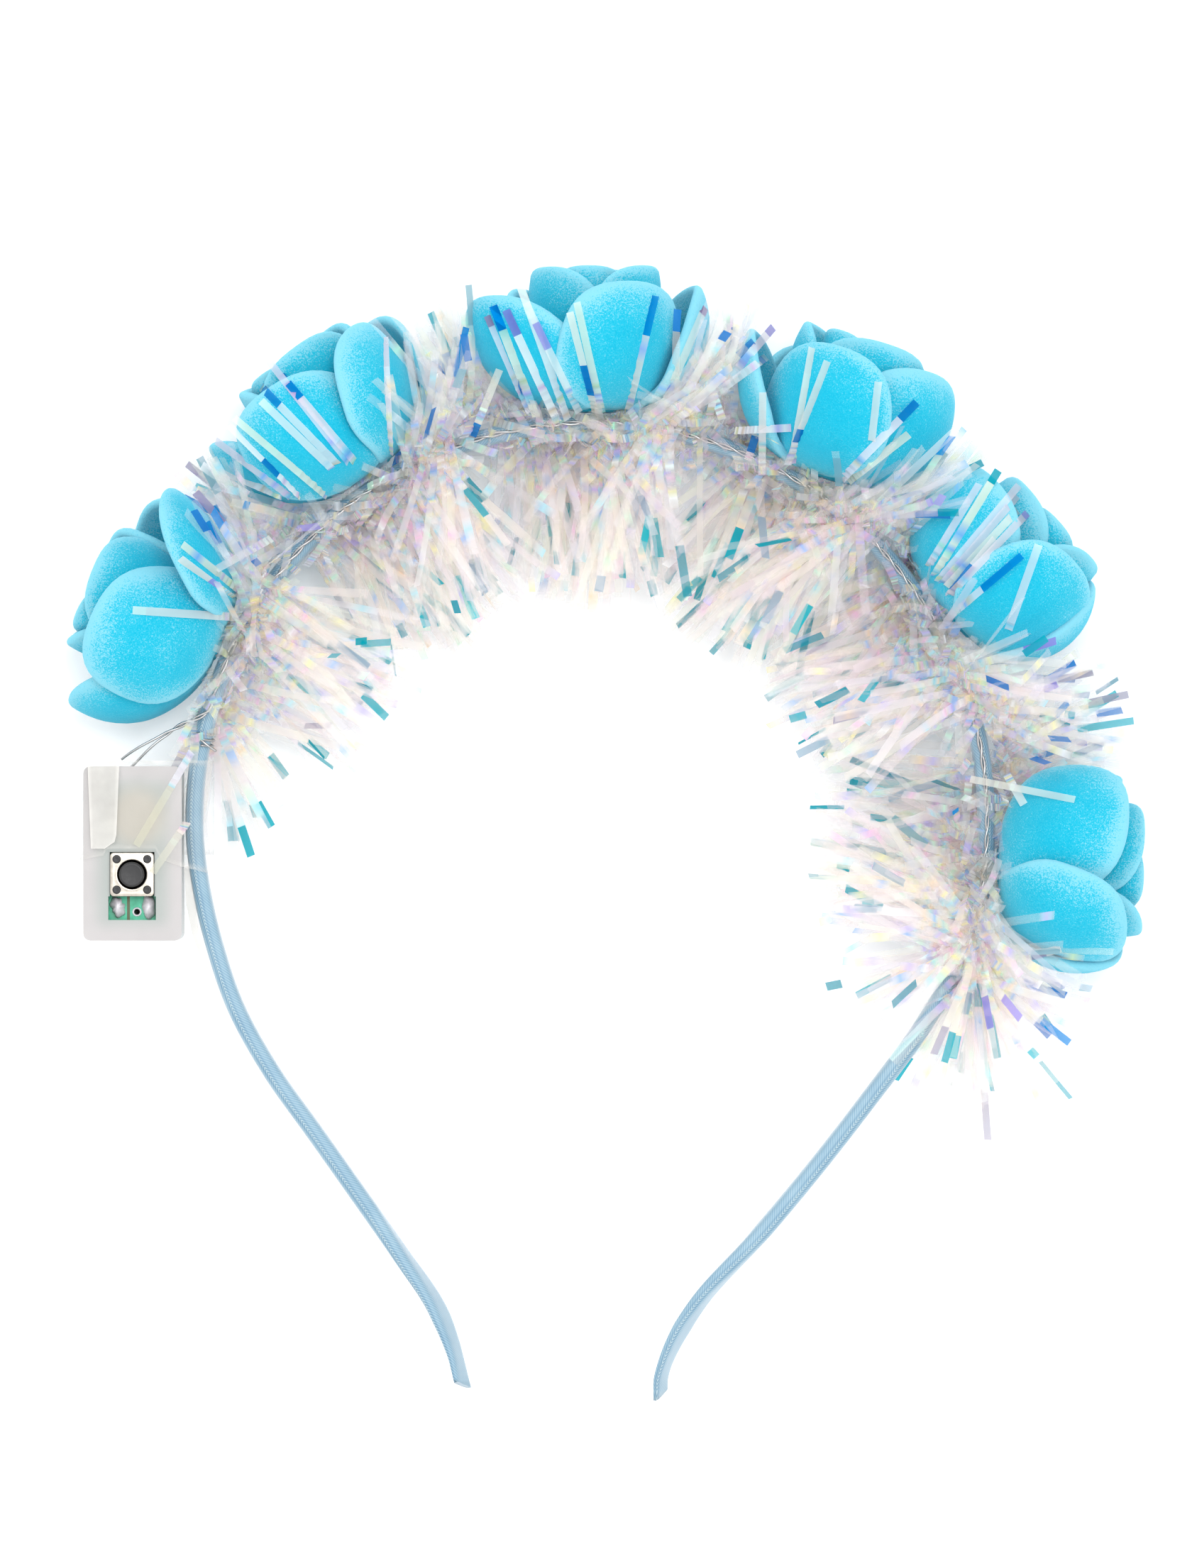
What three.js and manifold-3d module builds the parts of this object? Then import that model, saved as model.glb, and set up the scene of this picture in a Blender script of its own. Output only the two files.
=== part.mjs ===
// A light-up flower headband lying on its side: a spring band covered in satin ribbon, foam roses along
// its crown, a tinsel garland wound round it, a string of light beads on its front face, and a battery
// case with a push switch taped to its left leg.
// Millimetres. X is to the wearer's side, Y is towards the crown, and Z is up from the table.
import * as THREE from "three";
import { mergeVertices } from "three/addons/utils/BufferGeometryUtils.js";
import Module from "manifold-3d";

const wasm = await Module();
wasm.setup();

// Driving dimensions
const GAP = 0.3; // left between pieces that touch on the real thing

const CROWN_RADIUS = 55.8; // centre line of the band over the crown
const CROWN_STEP_DEG = 8;
const CROWN_SEGMENTS = 23; // an odd count lays one flat square across the top
const BAND_THICKNESS = 2.5;
const BAND_WIDTH = 5;
const BAND_BEVEL = 0.6;
const BEVEL_SHARE = 0.35; // at most this share of the thickness
const LEG_SEGMENTS = 10;

const ROSE_HUB_RADIUS = 3.4;
const OUTER_HUB_TOP = 1.6;
const INNER_TURN_DEG = 36; // the inner petals stand over the spaces between the outer ones
const BUD_TURN_DEG = -30;
const BUD_SIDES = 6;
const INNER_HUB_RADIUS = 2.8;
const INNER_HUB_TOP = 3.8;
const PETAL_THICKNESS = 1.3;
const FULL_WIDTH_AT = 0.6; // share of the petal's length where its root has widened to its full width

const WIRE_RADIUS = 0.35;
const WIRE_SIDES = 5;
const WIRE_FROM_DEG = 164;
const WIRE_TO_DEG = -10;
const WIRE_STEPS = 32;
const WIRE_RISE_DEG = 13; // the wire climbs to each bead over this angle
const BEAD_RADIUS = 1.5;
const BEAD_END_RADIUS = 1.1;
const BEAD_LENGTH = 3.2;
const BEAD_SIDES = 6;

const CORE_RADIUS = 0.7; // twisted core of the garland
const CORE_REACH_ACROSS = 2.9; // half size of its turns in the plane of the hoop
const CORE_REACH_UP = 5.1; // half size of its turns square to that plane
const CORE_SIDES = 4;
const CORE_STEPS = 46;
const CORE_STEPS_PER_TURN = 8;
const LOCK_FANS_PER_TURN = 6;
const SHARE_STEPS = 600; // samples of the band's line when a place on it is looked up
const GARLAND_LEAD_IN = 0.36; // turns before the first rose
const GARLAND_RUN_OUT = 0.72; // turns after the last rose
const LOCK_ROOT_WIDTH = 1;
const LOCK_TIP_WIDTH = 5.5;
const LOCK_DEPTH = 0.9;
const LOCK_LENGTH = 20;
const LOCK_LEAN = 0.6; // the fringe leans into the spaces between the roses
const LOCK_RISE = 0.8; // and lies a little flat
const LOCK_MARGIN = 1; // kept clear round each lock
const FLOOR_CLEARANCE = 1.2; // the fringe ends this far above the table

const CASE = { left: -71.2, right: -57.4, bottom: -17, top: 7.5, back: -5.2, front: 5.2 };
const CASE_WALL = 0.9;
const CASE_CORNER = 1;
const WINDOW = { left: -67.7, right: -61, bottom: -14.1, top: -4.4 };
const CELL = { x: -63.7, y: 0.4, radius: 3.95, height: 3.6 };
const CELL_SIDES = 14;
const BUTTON_SIDES = 16;
const SMALL_SIDES = 8;
const BOARD_THICKNESS = 1;
const TEST_HOLE = { x: -63.8, y: -13, radius: 0.5 };
const SOLDER = [
  { side: "left", x: -66.5, y: -12.3 },
  { side: "right", x: -62.1, y: -12.3 },
];
const SOLDER_PROFILE = [
  { radius: 0, height: 0 },
  { radius: 1.3, height: 0 },
  { radius: 1.1, height: 0.8 },
  { radius: 0.5, height: 1.3 },
  { radius: 0, height: 1.4 },
];
const SWITCH_SIZE = 6;
const SWITCH_HEIGHT = 3.5; // from the board to the top of the plate
const SWITCH_FLOOR = 0.4; // under the well that the button slides in
const PLATE_THICKNESS = 0.3;
const PLATE_CORNER = 0.5;
const PLATE_PROUD = 0.25; // of the front of the case
const BUTTON_RADIUS = 1.75;
const BUTTON_RISE = 1.5; // above the plate
const BUTTON_TRAVEL = 0.25;
const RIVET_RADIUS = 0.6;
const RIVET_RISE = 0.1; // above the plate
const RIVET_SPACING = 4.3;
const TAPE_THICKNESS = 0.25;
const TAPE_TOP = 8.3;
const TAPE_SLACK = 1; // room for the bend of the band inside the tape

// Centre line of each leg below the crown, down to its tip
const LEFT_LEG = [
  { x: -53.8, y: -14.5 },
  { x: -48.6, y: -29.4 },
  { x: -38.7, y: -44.3 },
  { x: -28.2, y: -59.2 },
  { x: -20.8, y: -70.5 },
  { x: -18, y: -79.7 },
];
const RIGHT_LEG = [
  { x: 54.4, y: -14 },
  { x: 48.2, y: -27 },
  { x: 36.8, y: -42.6 },
  { x: 25.5, y: -56.7 },
  { x: 14.8, y: -68.7 },
  { x: 10.2, y: -77.5 },
  { x: 9.9, y: -81 },
];

// The ribbon flattens and twists towards the tips
const TIP_SECTIONS = [
  { fromTip: 0, thickness: 0.9, width: 4.4, twistDeg: 18 },
  { fromTip: 5, thickness: 1.3, width: 5.2, twistDeg: 26 },
  { fromTip: 14, thickness: 1.8, width: 5.2, twistDeg: 16 },
  { fromTip: 26, thickness: BAND_THICKNESS, width: BAND_WIDTH, twistDeg: 0 },
];

// Rings of petals: each petal bends from baseDeg to tipDeg away from the rose's axis, narrows to
// rootShare of its width, and has one edge lifted over its neighbour
const OUTER_RING = {
  petals: 5, length: 24, width: 23, rootShare: 0.12, baseDeg: 90, tipDeg: -25,
  startRadius: 2.6, startHeight: 0.8, cup: 11.5, lift: 2.4, cells: 4,
};
const INNER_RING = {
  petals: 3, length: 20.5, width: 18, rootShare: 0.3, baseDeg: 60, tipDeg: -15,
  startRadius: 1, startHeight: 2.8, cup: 8.5, lift: 1.2, cells: 3,
};
const BUD_RING = {
  petals: 2, length: 16, width: 12, rootShare: 0.5, baseDeg: 50, tipDeg: -12,
  startRadius: 1, startHeight: 6, cup: 5, lift: 0.4, cells: 2,
};
const BUD_PROFILE = [
  { radius: 0, height: 4.7 },
  { radius: 2, height: 4.7 },
  { radius: 3.2, height: 11 },
  { radius: 2.4, height: 17 },
  { radius: 0, height: 19 },
];

// Place of each rose on the crown, the lean of its axis, the turn of its petals, which of their edges is
// on top, and its opened petals
const ROSES = [
  { atDeg: 154, leanDeg: 4, turnDeg: -8, overlap: -1, opened: { 1: 34, 4: 12 } },
  { atDeg: 122, leanDeg: 5, turnDeg: -24, overlap: -1, opened: { 4: 14 } },
  { atDeg: 89, leanDeg: 1, turnDeg: 18, overlap: -1, opened: { 4: 26 } },
  { atDeg: 55.5, leanDeg: 17, turnDeg: -15, overlap: 1, opened: { 2: 8, 4: 14 } },
  { atDeg: 28.5, leanDeg: 14, turnDeg: 24, overlap: -1, opened: { 4: 6 } },
  { atDeg: -7, leanDeg: 6, turnDeg: 36, overlap: -1, opened: {} },
];

// Fans of locks, taken by turns along the garland: angle from the inward side, and share of the length
const LOCK_FANS = [
  [{ turnDeg: -34, share: 0.94 }, { turnDeg: 14, share: 1.08 }, { turnDeg: 160, share: 0.9 }],
  [{ turnDeg: -12, share: 1.12 }, { turnDeg: 40, share: 0.9 }, { turnDeg: -142, share: 0.95 }],
  [{ turnDeg: -22, share: 1 }, { turnDeg: 26, share: 1.04 }],
];

// The wire's free stretch, from the case to the band
const WIRE_LEAD = [
  { x: -65.4, y: CASE.top + GAP, z: 3 },
  { x: -62.4, y: 10.2, z: 3.8 },
  { x: -58, y: 13, z: 3.6 },
];

const COLOURS = {
  ribbon: { color: 0xbad4e6, roughness: 0.45, metalness: 0 },
  petal: { color: 0x2ed2ed, roughness: 0.95, metalness: 0 },
  film: { color: 0xe6e4ea, roughness: 0.2, metalness: 0 },
  wire: { color: 0xb8b8b8, roughness: 0.3, metalness: 1 },
  bead: { color: 0xf4f0dc, roughness: 0.1, metalness: 0 },
  frosted: { color: 0xe2e2de, roughness: 0.5, metalness: 0 },
  cell: { color: 0xdcd6cb, roughness: 0.35, metalness: 0.8 },
  board: { color: 0x0f8f6a, roughness: 0.4, metalness: 0 },
  solder: { color: 0xb1aeaa, roughness: 0.3, metalness: 1 },
  black: { color: 0x3c3c3f, roughness: 0.5, metalness: 0 },
  plate: { color: 0xb4ada4, roughness: 0.3, metalness: 1 },
  tape: { color: 0xf0f0ee, roughness: 0.15, metalness: 0 },
};

const UP = new THREE.Vector3(0, 0, 1);
const rad = THREE.MathUtils.degToRad;
const headband = new THREE.Group();

function addPiece(parent, name, geometry, colour) {
  const mesh = new THREE.Mesh(geometry, new THREE.MeshStandardMaterial(COLOURS[colour]));
  mesh.name = name;
  parent.add(mesh);
  return mesh;
}

function indexedGeometry(positions, index) {
  const geometry = new THREE.BufferGeometry();
  geometry.setAttribute("position", new THREE.Float32BufferAttribute(positions, 3));
  geometry.setIndex(index);
  return geometry;
}

// Joins and cuts
function solidOf(geometry) {
  const bare = geometry.clone();
  bare.deleteAttribute("normal");
  bare.deleteAttribute("uv");
  const merged = mergeVertices(bare, 1e-4);
  const vertProperties = new Float32Array(merged.attributes.position.array);
  const triVerts = new Uint32Array(merged.index.array);
  return new wasm.Manifold(new wasm.Mesh({ numProp: 3, vertProperties, triVerts }));
}

function geometryOf(solid) {
  const { vertProperties, triVerts } = solid.getMesh();
  return indexedGeometry(Array.from(vertProperties), Array.from(triVerts));
}

function joined(geometries) {
  return geometryOf(wasm.Manifold.union(geometries.map(solidOf)));
}

function cut(geometry, cutters) {
  return geometryOf(solidOf(geometry).subtract(wasm.Manifold.union(cutters.map(solidOf))));
}

// A closed body through convex rings that all have the same count of points
function loft(rings) {
  const count = rings[0].length;
  const last = (rings.length - 1) * count;
  const positions = rings.flat().flatMap((point) => point.toArray());
  const index = [];
  for (let start = 0; start < last; start += count) {
    for (let k = 0; k < count; k += 1) {
      const a = start + k;
      const b = start + ((k + 1) % count);
      index.push(a, b, b + count, a, b + count, a + count);
    }
  }
  for (let k = 1; k + 1 < count; k += 1) {
    index.push(0, k + 1, k);
    index.push(last, last + k, last + k + 1);
  }
  return indexedGeometry(positions, index);
}

function tube(points, radius, sides, steps) {
  const outline = new THREE.EllipseCurve(0, 0, radius, radius).getSpacedPoints(sides);
  const section = new THREE.Shape(outline.slice(0, sides));
  const extrudePath = new THREE.CatmullRomCurve3(points);
  return new THREE.ExtrudeGeometry(section, { extrudePath, steps });
}

// Upright pieces over an area of the XY plane, from a low to a high level
function block(area, low, high) {
  const geometry = new THREE.BoxGeometry(area.right - area.left, area.top - area.bottom, high - low);
  geometry.translate((area.left + area.right) / 2, (area.bottom + area.top) / 2, (low + high) / 2);
  return geometry;
}

function roundedBlock(area, low, high, radius) {
  const [left, right] = [area.left + radius, area.right - radius];
  const [bottom, top] = [area.bottom + radius, area.top - radius];
  const shape = new THREE.Shape();
  shape.absarc(right, bottom, radius, -Math.PI / 2, 0);
  shape.absarc(right, top, radius, 0, Math.PI / 2);
  shape.absarc(left, top, radius, Math.PI / 2, Math.PI);
  shape.absarc(left, bottom, radius, Math.PI, 1.5 * Math.PI);
  const settings = { depth: high - low, bevelEnabled: false, curveSegments: 2 };
  return new THREE.ExtrudeGeometry(shape, settings).translate(0, 0, low);
}

function disc(x, y, low, high, radius, sides) {
  const geometry = new THREE.CylinderGeometry(radius, radius, high - low, sides);
  return geometry.rotateX(Math.PI / 2).translate(x, y, (low + high) / 2);
}

// A turned piece from rows of radius and height
function turned(rows, sides) {
  return new THREE.LatheGeometry(rows.map((row) => new THREE.Vector2(row.radius, row.height)), sides);
}

// Centre line of the band, from the left tip over the crown to the right tip
function crownPoint(deg, radius = CROWN_RADIUS, z = 0) {
  return new THREE.Vector3(radius * Math.cos(rad(deg)), radius * Math.sin(rad(deg)), z);
}

const crownHalfDeg = (CROWN_STEP_DEG * CROWN_SEGMENTS) / 2;

function legLine(rows, endDeg, inwardStep) {
  const lead = [crownPoint(endDeg + inwardStep), crownPoint(endDeg)];
  const points = lead.concat(rows.map((row) => new THREE.Vector3(row.x, row.y, 0)));
  const curve = new THREE.CatmullRomCurve3(points);
  const leadShare = 1 / (points.length - 1);
  return Array.from({ length: LEG_SEGMENTS }, (_, k) =>
    curve.getPoint(leadShare + ((1 - leadShare) * (k + 1)) / LEG_SEGMENTS));
}

function bandCentreLine() {
  const left = legLine(LEFT_LEG, 90 + crownHalfDeg, -CROWN_STEP_DEG).reverse();
  const right = legLine(RIGHT_LEG, 90 - crownHalfDeg, CROWN_STEP_DEG);
  const crown = Array.from({ length: CROWN_SEGMENTS + 1 }, (_, k) =>
    crownPoint(90 + crownHalfDeg - CROWN_STEP_DEG * k));
  return [...left, ...crown, ...right];
}

function tipSection(fromTip) {
  const rows = TIP_SECTIONS;
  const above = rows.findIndex((row) => row.fromTip > fromTip);
  if (above < 0) return rows[rows.length - 1];
  const [a, b] = [rows[above - 1], rows[above]];
  const share = (fromTip - a.fromTip) / (b.fromTip - a.fromTip);
  const mix = (column) => THREE.MathUtils.lerp(a[column], b[column], share);
  return { thickness: mix("thickness"), width: mix("width"), twistDeg: mix("twistDeg") };
}

function bandRing(point, tangent, section, twistSign) {
  const half = { across: section.thickness / 2, up: section.width / 2 };
  const bevel = Math.min(BAND_BEVEL, BEVEL_SHARE * section.thickness);
  const across = new THREE.Vector3().crossVectors(UP, tangent).normalize();
  const corners = [[1, -1], [1, 1], [-1, 1], [-1, -1]];
  const outline = corners.flatMap(([sideX, sideZ]) => {
    const onFace = [sideX * half.across, sideZ * (half.up - bevel)];
    const onEdge = [sideX * (half.across - bevel), sideZ * half.up];
    return sideX === sideZ ? [onFace, onEdge] : [onEdge, onFace];
  });
  return outline.map(([x, z]) => {
    const offset = across.clone().multiplyScalar(x).addScaledVector(UP, z);
    offset.applyAxisAngle(tangent, rad(section.twistDeg) * twistSign);
    return offset.add(point);
  });
}

const bandPoints = bandCentreLine();
const bandLine = new THREE.CatmullRomCurve3(bandPoints);
const bandLength = bandLine.getLength();

function makeBand() {
  let travelled = 0;
  const rings = bandPoints.map((point, k) => {
    const before = bandPoints[Math.max(k - 1, 0)];
    const after = bandPoints[Math.min(k + 1, bandPoints.length - 1)];
    travelled += point.distanceTo(before);
    const tangent = new THREE.Vector3().subVectors(after, before).normalize();
    const section = tipSection(Math.min(travelled, Math.max(bandLength - travelled, 0)));
    return bandRing(point, tangent, section, Math.sign(point.x));
  });
  addPiece(headband, "band", loft(rings), "ribbon");
}

// Foam roses
function petalPoint(petal, x, y) {
  const along = (y + 1) / 2;
  const base = rad(petal.baseDeg);
  const bend = rad(THREE.MathUtils.lerp(petal.baseDeg, petal.tipDeg, along));
  const bendRadius = petal.length / rad(petal.baseDeg - petal.tipDeg);
  const out = petal.startRadius + bendRadius * (Math.cos(bend) - Math.cos(base));
  const height = petal.startHeight + bendRadius * (Math.sin(base) - Math.sin(bend));
  const widening = THREE.MathUtils.smoothstep(along, 0, FULL_WIDTH_AT);
  const taper = THREE.MathUtils.lerp(petal.rootShare, 1, widening);
  const wrap = (x * taper * petal.width) / 2 / petal.cup;
  const lifted = out - petal.cup * (1 - Math.cos(wrap)) + petal.lift * taper * x;
  return new THREE.Vector3(lifted, petal.cup * Math.sin(wrap), height);
}

function petalNormal(petal, x, y) {
  const step = 0.01;
  const acrossStep = petalPoint(petal, x + step, y).sub(petalPoint(petal, x - step, y));
  const alongStep = petalPoint(petal, x, y + step).sub(petalPoint(petal, x, y - step));
  return acrossStep.cross(alongStep).normalize();
}

// A round cupped petal: a square grid drawn out to a disc, then bent, and given its thickness
function petalGeometry(petal) {
  const side = petal.cells + 1;
  const faces = [[], []];
  for (let i = 0; i < side; i += 1) {
    for (let j = 0; j < side; j += 1) {
      const a = (2 * i) / petal.cells - 1;
      const b = (2 * j) / petal.cells - 1;
      const x = a * Math.sqrt(1 - (b * b) / 2);
      const y = b * Math.sqrt(1 - (a * a) / 2);
      const middle = petalPoint(petal, x, y);
      const reach = petalNormal(petal, x, y).multiplyScalar(PETAL_THICKNESS / 2);
      faces[0].push(middle.clone().add(reach));
      faces[1].push(middle.clone().sub(reach));
    }
  }
  const back = side * side;
  const index = [];
  const addQuad = (p, q, r, s) => index.push(p, q, r, p, r, s);
  for (let i = 0; i < petal.cells; i += 1) {
    for (let j = 0; j < petal.cells; j += 1) {
      const corner = i * side + j;
      addQuad(corner, corner + side, corner + side + 1, corner + 1);
      addQuad(back + corner, back + corner + 1, back + corner + side + 1, back + corner + side);
    }
    const [low, high] = [i * side, (i + 1) * side];
    addQuad(low, back + low, back + high, high);
    const far = petal.cells;
    addQuad(high + far, back + high + far, back + low + far, low + far);
    addQuad(i + 1, back + i + 1, back + i, i);
    const lastRow = petal.cells * side;
    addQuad(lastRow + i, back + lastRow + i, back + lastRow + i + 1, lastRow + i + 1);
  }
  const positions = faces.flat().flatMap((point) => point.toArray());
  const geometry = indexedGeometry(positions, index);
  geometry.rotateZ(petal.turn);
  return geometry;
}

function petalRing(ring, turnDeg, overlap, opened = {}) {
  return Array.from({ length: ring.petals }, (_, k) => petalGeometry({
    ...ring,
    lift: ring.lift * overlap,
    tipDeg: ring.tipDeg + (opened[k] ?? 0),
    turn: rad(turnDeg + (360 * k) / ring.petals),
  }));
}

function makeRose(rose, number) {
  const axisDeg = rose.atDeg + rose.leanDeg;
  const axis = crownPoint(axisDeg, 1);
  const seat = CROWN_RADIUS + BAND_THICKNESS / 2 + GAP + ROSE_HUB_RADIUS * Math.sin(rad(rose.leanDeg));
  const group = new THREE.Group();
  group.position.copy(crownPoint(rose.atDeg, seat));
  const sideways = new THREE.Vector3().crossVectors(axis, UP);
  group.quaternion.setFromRotationMatrix(new THREE.Matrix4().makeBasis(UP, sideways, axis));
  headband.add(group);

  const outerHub = disc(0, 0, 0, OUTER_HUB_TOP, ROSE_HUB_RADIUS, OUTER_RING.petals);
  outerHub.rotateZ(rad(rose.turnDeg - 90 / OUTER_RING.petals));
  const outer = joined([outerHub, ...petalRing(OUTER_RING, rose.turnDeg, rose.overlap, rose.opened)]);
  addPiece(group, `rose_${number}_outer_petals`, outer, "petal");

  const innerHub = disc(0, 0, OUTER_HUB_TOP + GAP, INNER_HUB_TOP, INNER_HUB_RADIUS, 2 * INNER_RING.petals);
  const inner = joined([innerHub, ...petalRing(INNER_RING, rose.turnDeg + INNER_TURN_DEG, rose.overlap)]);
  addPiece(group, `rose_${number}_inner_petals`, inner, "petal");

  const budCore = turned(BUD_PROFILE, BUD_SIDES).rotateX(Math.PI / 2);
  const bud = joined([budCore, ...petalRing(BUD_RING, rose.turnDeg + BUD_TURN_DEG, rose.overlap)]);
  addPiece(group, `rose_${number}_bud`, bud, "petal");
}

// Light wire along the front of the band, lifted through a bead at each rose
const WIRE_LOW = BAND_WIDTH / 2 + GAP + WIRE_RADIUS;
const WIRE_HIGH = BAND_WIDTH / 2 + GAP + BEAD_RADIUS;

function wireHeight(deg) {
  const nearest = Math.min(...ROSES.map((rose) => Math.abs(rose.atDeg - deg)));
  const share = THREE.MathUtils.smoothstep(nearest, 0, WIRE_RISE_DEG);
  return THREE.MathUtils.lerp(WIRE_HIGH, WIRE_LOW, share);
}

function makeLights() {
  const lead = WIRE_LEAD.map((row) => new THREE.Vector3(row.x, row.y, row.z));
  const laid = Array.from({ length: WIRE_STEPS + 1 }, (_, k) => {
    const deg = THREE.MathUtils.lerp(WIRE_FROM_DEG, WIRE_TO_DEG, k / WIRE_STEPS);
    return crownPoint(deg, CROWN_RADIUS, wireHeight(deg));
  });
  const route = [...lead, ...laid];
  addPiece(headband, "light_wire", tube(route, WIRE_RADIUS, WIRE_SIDES, route.length + 2), "wire");

  const bore = WIRE_RADIUS + GAP;
  const half = BEAD_LENGTH / 2;
  const profile = [
    { radius: bore, height: -half },
    { radius: BEAD_END_RADIUS, height: -half },
    { radius: BEAD_RADIUS, height: 0 },
    { radius: BEAD_END_RADIUS, height: half },
    { radius: bore, height: half },
    { radius: bore, height: -half },
  ];
  ROSES.forEach((rose, k) => {
    const bead = addPiece(headband, `light_bead_${k + 1}`, turned(profile, BEAD_SIDES), "bead");
    bead.position.copy(crownPoint(rose.atDeg, CROWN_RADIUS, WIRE_HIGH));
    bead.rotation.z = rad(rose.atDeg);
  });
}

// Battery case with its cover, cells, board and switch
const INSIDE = {
  left: CASE.left + CASE_WALL,
  right: CASE.right - CASE_WALL,
  bottom: CASE.bottom + CASE_WALL,
  top: CASE.top - CASE_WALL,
};
const PLATE_TOP = CASE.front + PLATE_PROUD;
const BOARD_FRONT = PLATE_TOP - SWITCH_HEIGHT;
const BOARD_BACK = BOARD_FRONT - BOARD_THICKNESS;
const COVER_FRONT = CASE.back + CASE_WALL;
const SWITCH_X = (WINDOW.left + WINDOW.right) / 2;
const SWITCH_Y = WINDOW.top - GAP - SWITCH_SIZE / 2;
const PAST = 1; // how far a cutter runs past the face that it cuts

function makeCase() {
  const shell = roundedBlock(CASE, COVER_FRONT + GAP, CASE.front, CASE_CORNER);
  const hollow = block(INSIDE, CASE.back, CASE.front - CASE_WALL);
  const view = block(WINDOW, 0, CASE.front + PAST);
  addPiece(headband, "battery_case", cut(shell, [hollow, view]), "frosted");
  addPiece(headband, "battery_cover", roundedBlock(CASE, CASE.back, COVER_FRONT, CASE_CORNER), "frosted");

  const boardArea = {
    left: INSIDE.left + GAP, right: INSIDE.right - GAP, bottom: INSIDE.bottom + GAP, top: INSIDE.top - GAP,
  };
  const sheet = block(boardArea, BOARD_BACK, BOARD_FRONT);
  const [holeLow, holeHigh] = [BOARD_BACK - PAST, BOARD_FRONT + PAST];
  const cellHole = disc(CELL.x, CELL.y, holeLow, holeHigh, CELL.radius + GAP, CELL_SIDES);
  const testHole = disc(TEST_HOLE.x, TEST_HOLE.y, holeLow, holeHigh, TEST_HOLE.radius, SMALL_SIDES);
  addPiece(headband, "circuit_board", cut(sheet, [cellHole, testHole]), "board");

  for (const number of [1, 2]) {
    const low = COVER_FRONT + GAP + (number - 1) * (CELL.height + GAP);
    const cell = disc(CELL.x, CELL.y, low, low + CELL.height, CELL.radius, CELL_SIDES);
    addPiece(headband, `button_cell_${number}`, cell, "cell");
  }

  for (const { side, x, y } of SOLDER) {
    const lump = turned(SOLDER_PROFILE, SMALL_SIDES).rotateX(Math.PI / 2);
    addPiece(headband, `solder_${side}`, lump.translate(x, y, BOARD_FRONT + GAP), "solder");
  }
}

function makeSwitch() {
  const half = SWITCH_SIZE / 2;
  const area = {
    left: SWITCH_X - half, right: SWITCH_X + half, bottom: SWITCH_Y - half, top: SWITCH_Y + half,
  };
  const bodyLow = BOARD_FRONT + GAP;
  const wellLow = bodyLow + SWITCH_FLOOR;
  const plateLow = PLATE_TOP - PLATE_THICKNESS;
  const bodyTop = plateLow - GAP;
  const bore = BUTTON_RADIUS + GAP;
  const atRivets = (make) => [[-1, -1], [1, -1], [1, 1], [-1, 1]].map(([sideX, sideY]) =>
    make(SWITCH_X + (sideX * RIVET_SPACING) / 2, SWITCH_Y + (sideY * RIVET_SPACING) / 2));

  const rivetTop = PLATE_TOP + RIVET_RISE;
  const heads = atRivets((x, y) => disc(x, y, bodyTop - RIVET_RADIUS, rivetTop, RIVET_RADIUS, SMALL_SIDES));
  const well = disc(SWITCH_X, SWITCH_Y, wellLow, PLATE_TOP + PAST, bore, BUTTON_SIDES);
  const body = joined([block(area, bodyLow, bodyTop), ...heads]);
  addPiece(headband, "switch_body", cut(body, [well]), "black");

  const rivetHole = RIVET_RADIUS + GAP / 2;
  const rivetHoles = atRivets((x, y) =>
    disc(x, y, plateLow - PAST, PLATE_TOP + PAST, rivetHole, SMALL_SIDES));
  const buttonHole = disc(SWITCH_X, SWITCH_Y, plateLow - PAST, PLATE_TOP + PAST, bore, BUTTON_SIDES);
  const sheet = roundedBlock(area, plateLow, PLATE_TOP, PLATE_CORNER);
  addPiece(headband, "switch_plate", cut(sheet, [...rivetHoles, buttonHole]), "plate");

  const buttonLow = wellLow + GAP + BUTTON_TRAVEL;
  const button = disc(SWITCH_X, SWITCH_Y, buttonLow, PLATE_TOP + BUTTON_RISE, BUTTON_RADIUS, BUTTON_SIDES);
  addPiece(headband, "switch_button", button, "black");
}

// Clear tape wrapped round the case and the band
function makeTape() {
  const clear = GAP + TAPE_THICKNESS;
  const bandRight = -CROWN_RADIUS + BAND_THICKNESS / 2 + TAPE_SLACK;
  const outline = (inset) => [
    [CASE.left - clear + inset, CASE.back - clear + inset],
    [CASE.right, CASE.back - clear + inset],
    [bandRight + clear - inset, -BAND_WIDTH / 2 - clear + inset],
    [bandRight + clear - inset, BAND_WIDTH / 2 + clear - inset],
    [CASE.right, CASE.front + clear - inset],
    [CASE.left - clear + inset, CASE.front + clear - inset],
  ].map(([x, z]) => new THREE.Vector2(x, -z)).reverse();
  const bottom = WINDOW.top + GAP;
  const wrap = new THREE.Shape(outline(0));
  wrap.holes.push(new THREE.Path(outline(TAPE_THICKNESS)));
  const geometry = new THREE.ExtrudeGeometry(wrap, { depth: TAPE_TOP - bottom, bevelEnabled: false });
  geometry.rotateX(-Math.PI / 2);
  geometry.translate(0, bottom, 0);
  addPiece(headband, "clear_tape", geometry, "tape");
}

// Tinsel garland: a core wound round the band, one turn from rose to rose, with locks of film strips
function shareAtAngle(deg) {
  const target = crownPoint(deg);
  const distances = bandLine.getSpacedPoints(SHARE_STEPS).map((point) => point.distanceTo(target));
  return distances.indexOf(Math.min(...distances)) / SHARE_STEPS;
}

function coreFrame(share, turns) {
  const phase = Math.PI - 2 * Math.PI * turns;
  const tangent = bandLine.getTangentAt(share);
  const across = new THREE.Vector3().crossVectors(UP, tangent).normalize();
  const point = bandLine.getPointAt(share);
  point.addScaledVector(across, CORE_REACH_ACROSS * Math.cos(phase));
  point.addScaledVector(UP, CORE_REACH_UP * Math.sin(phase));
  return { point, across, tangent, turns };
}

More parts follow.
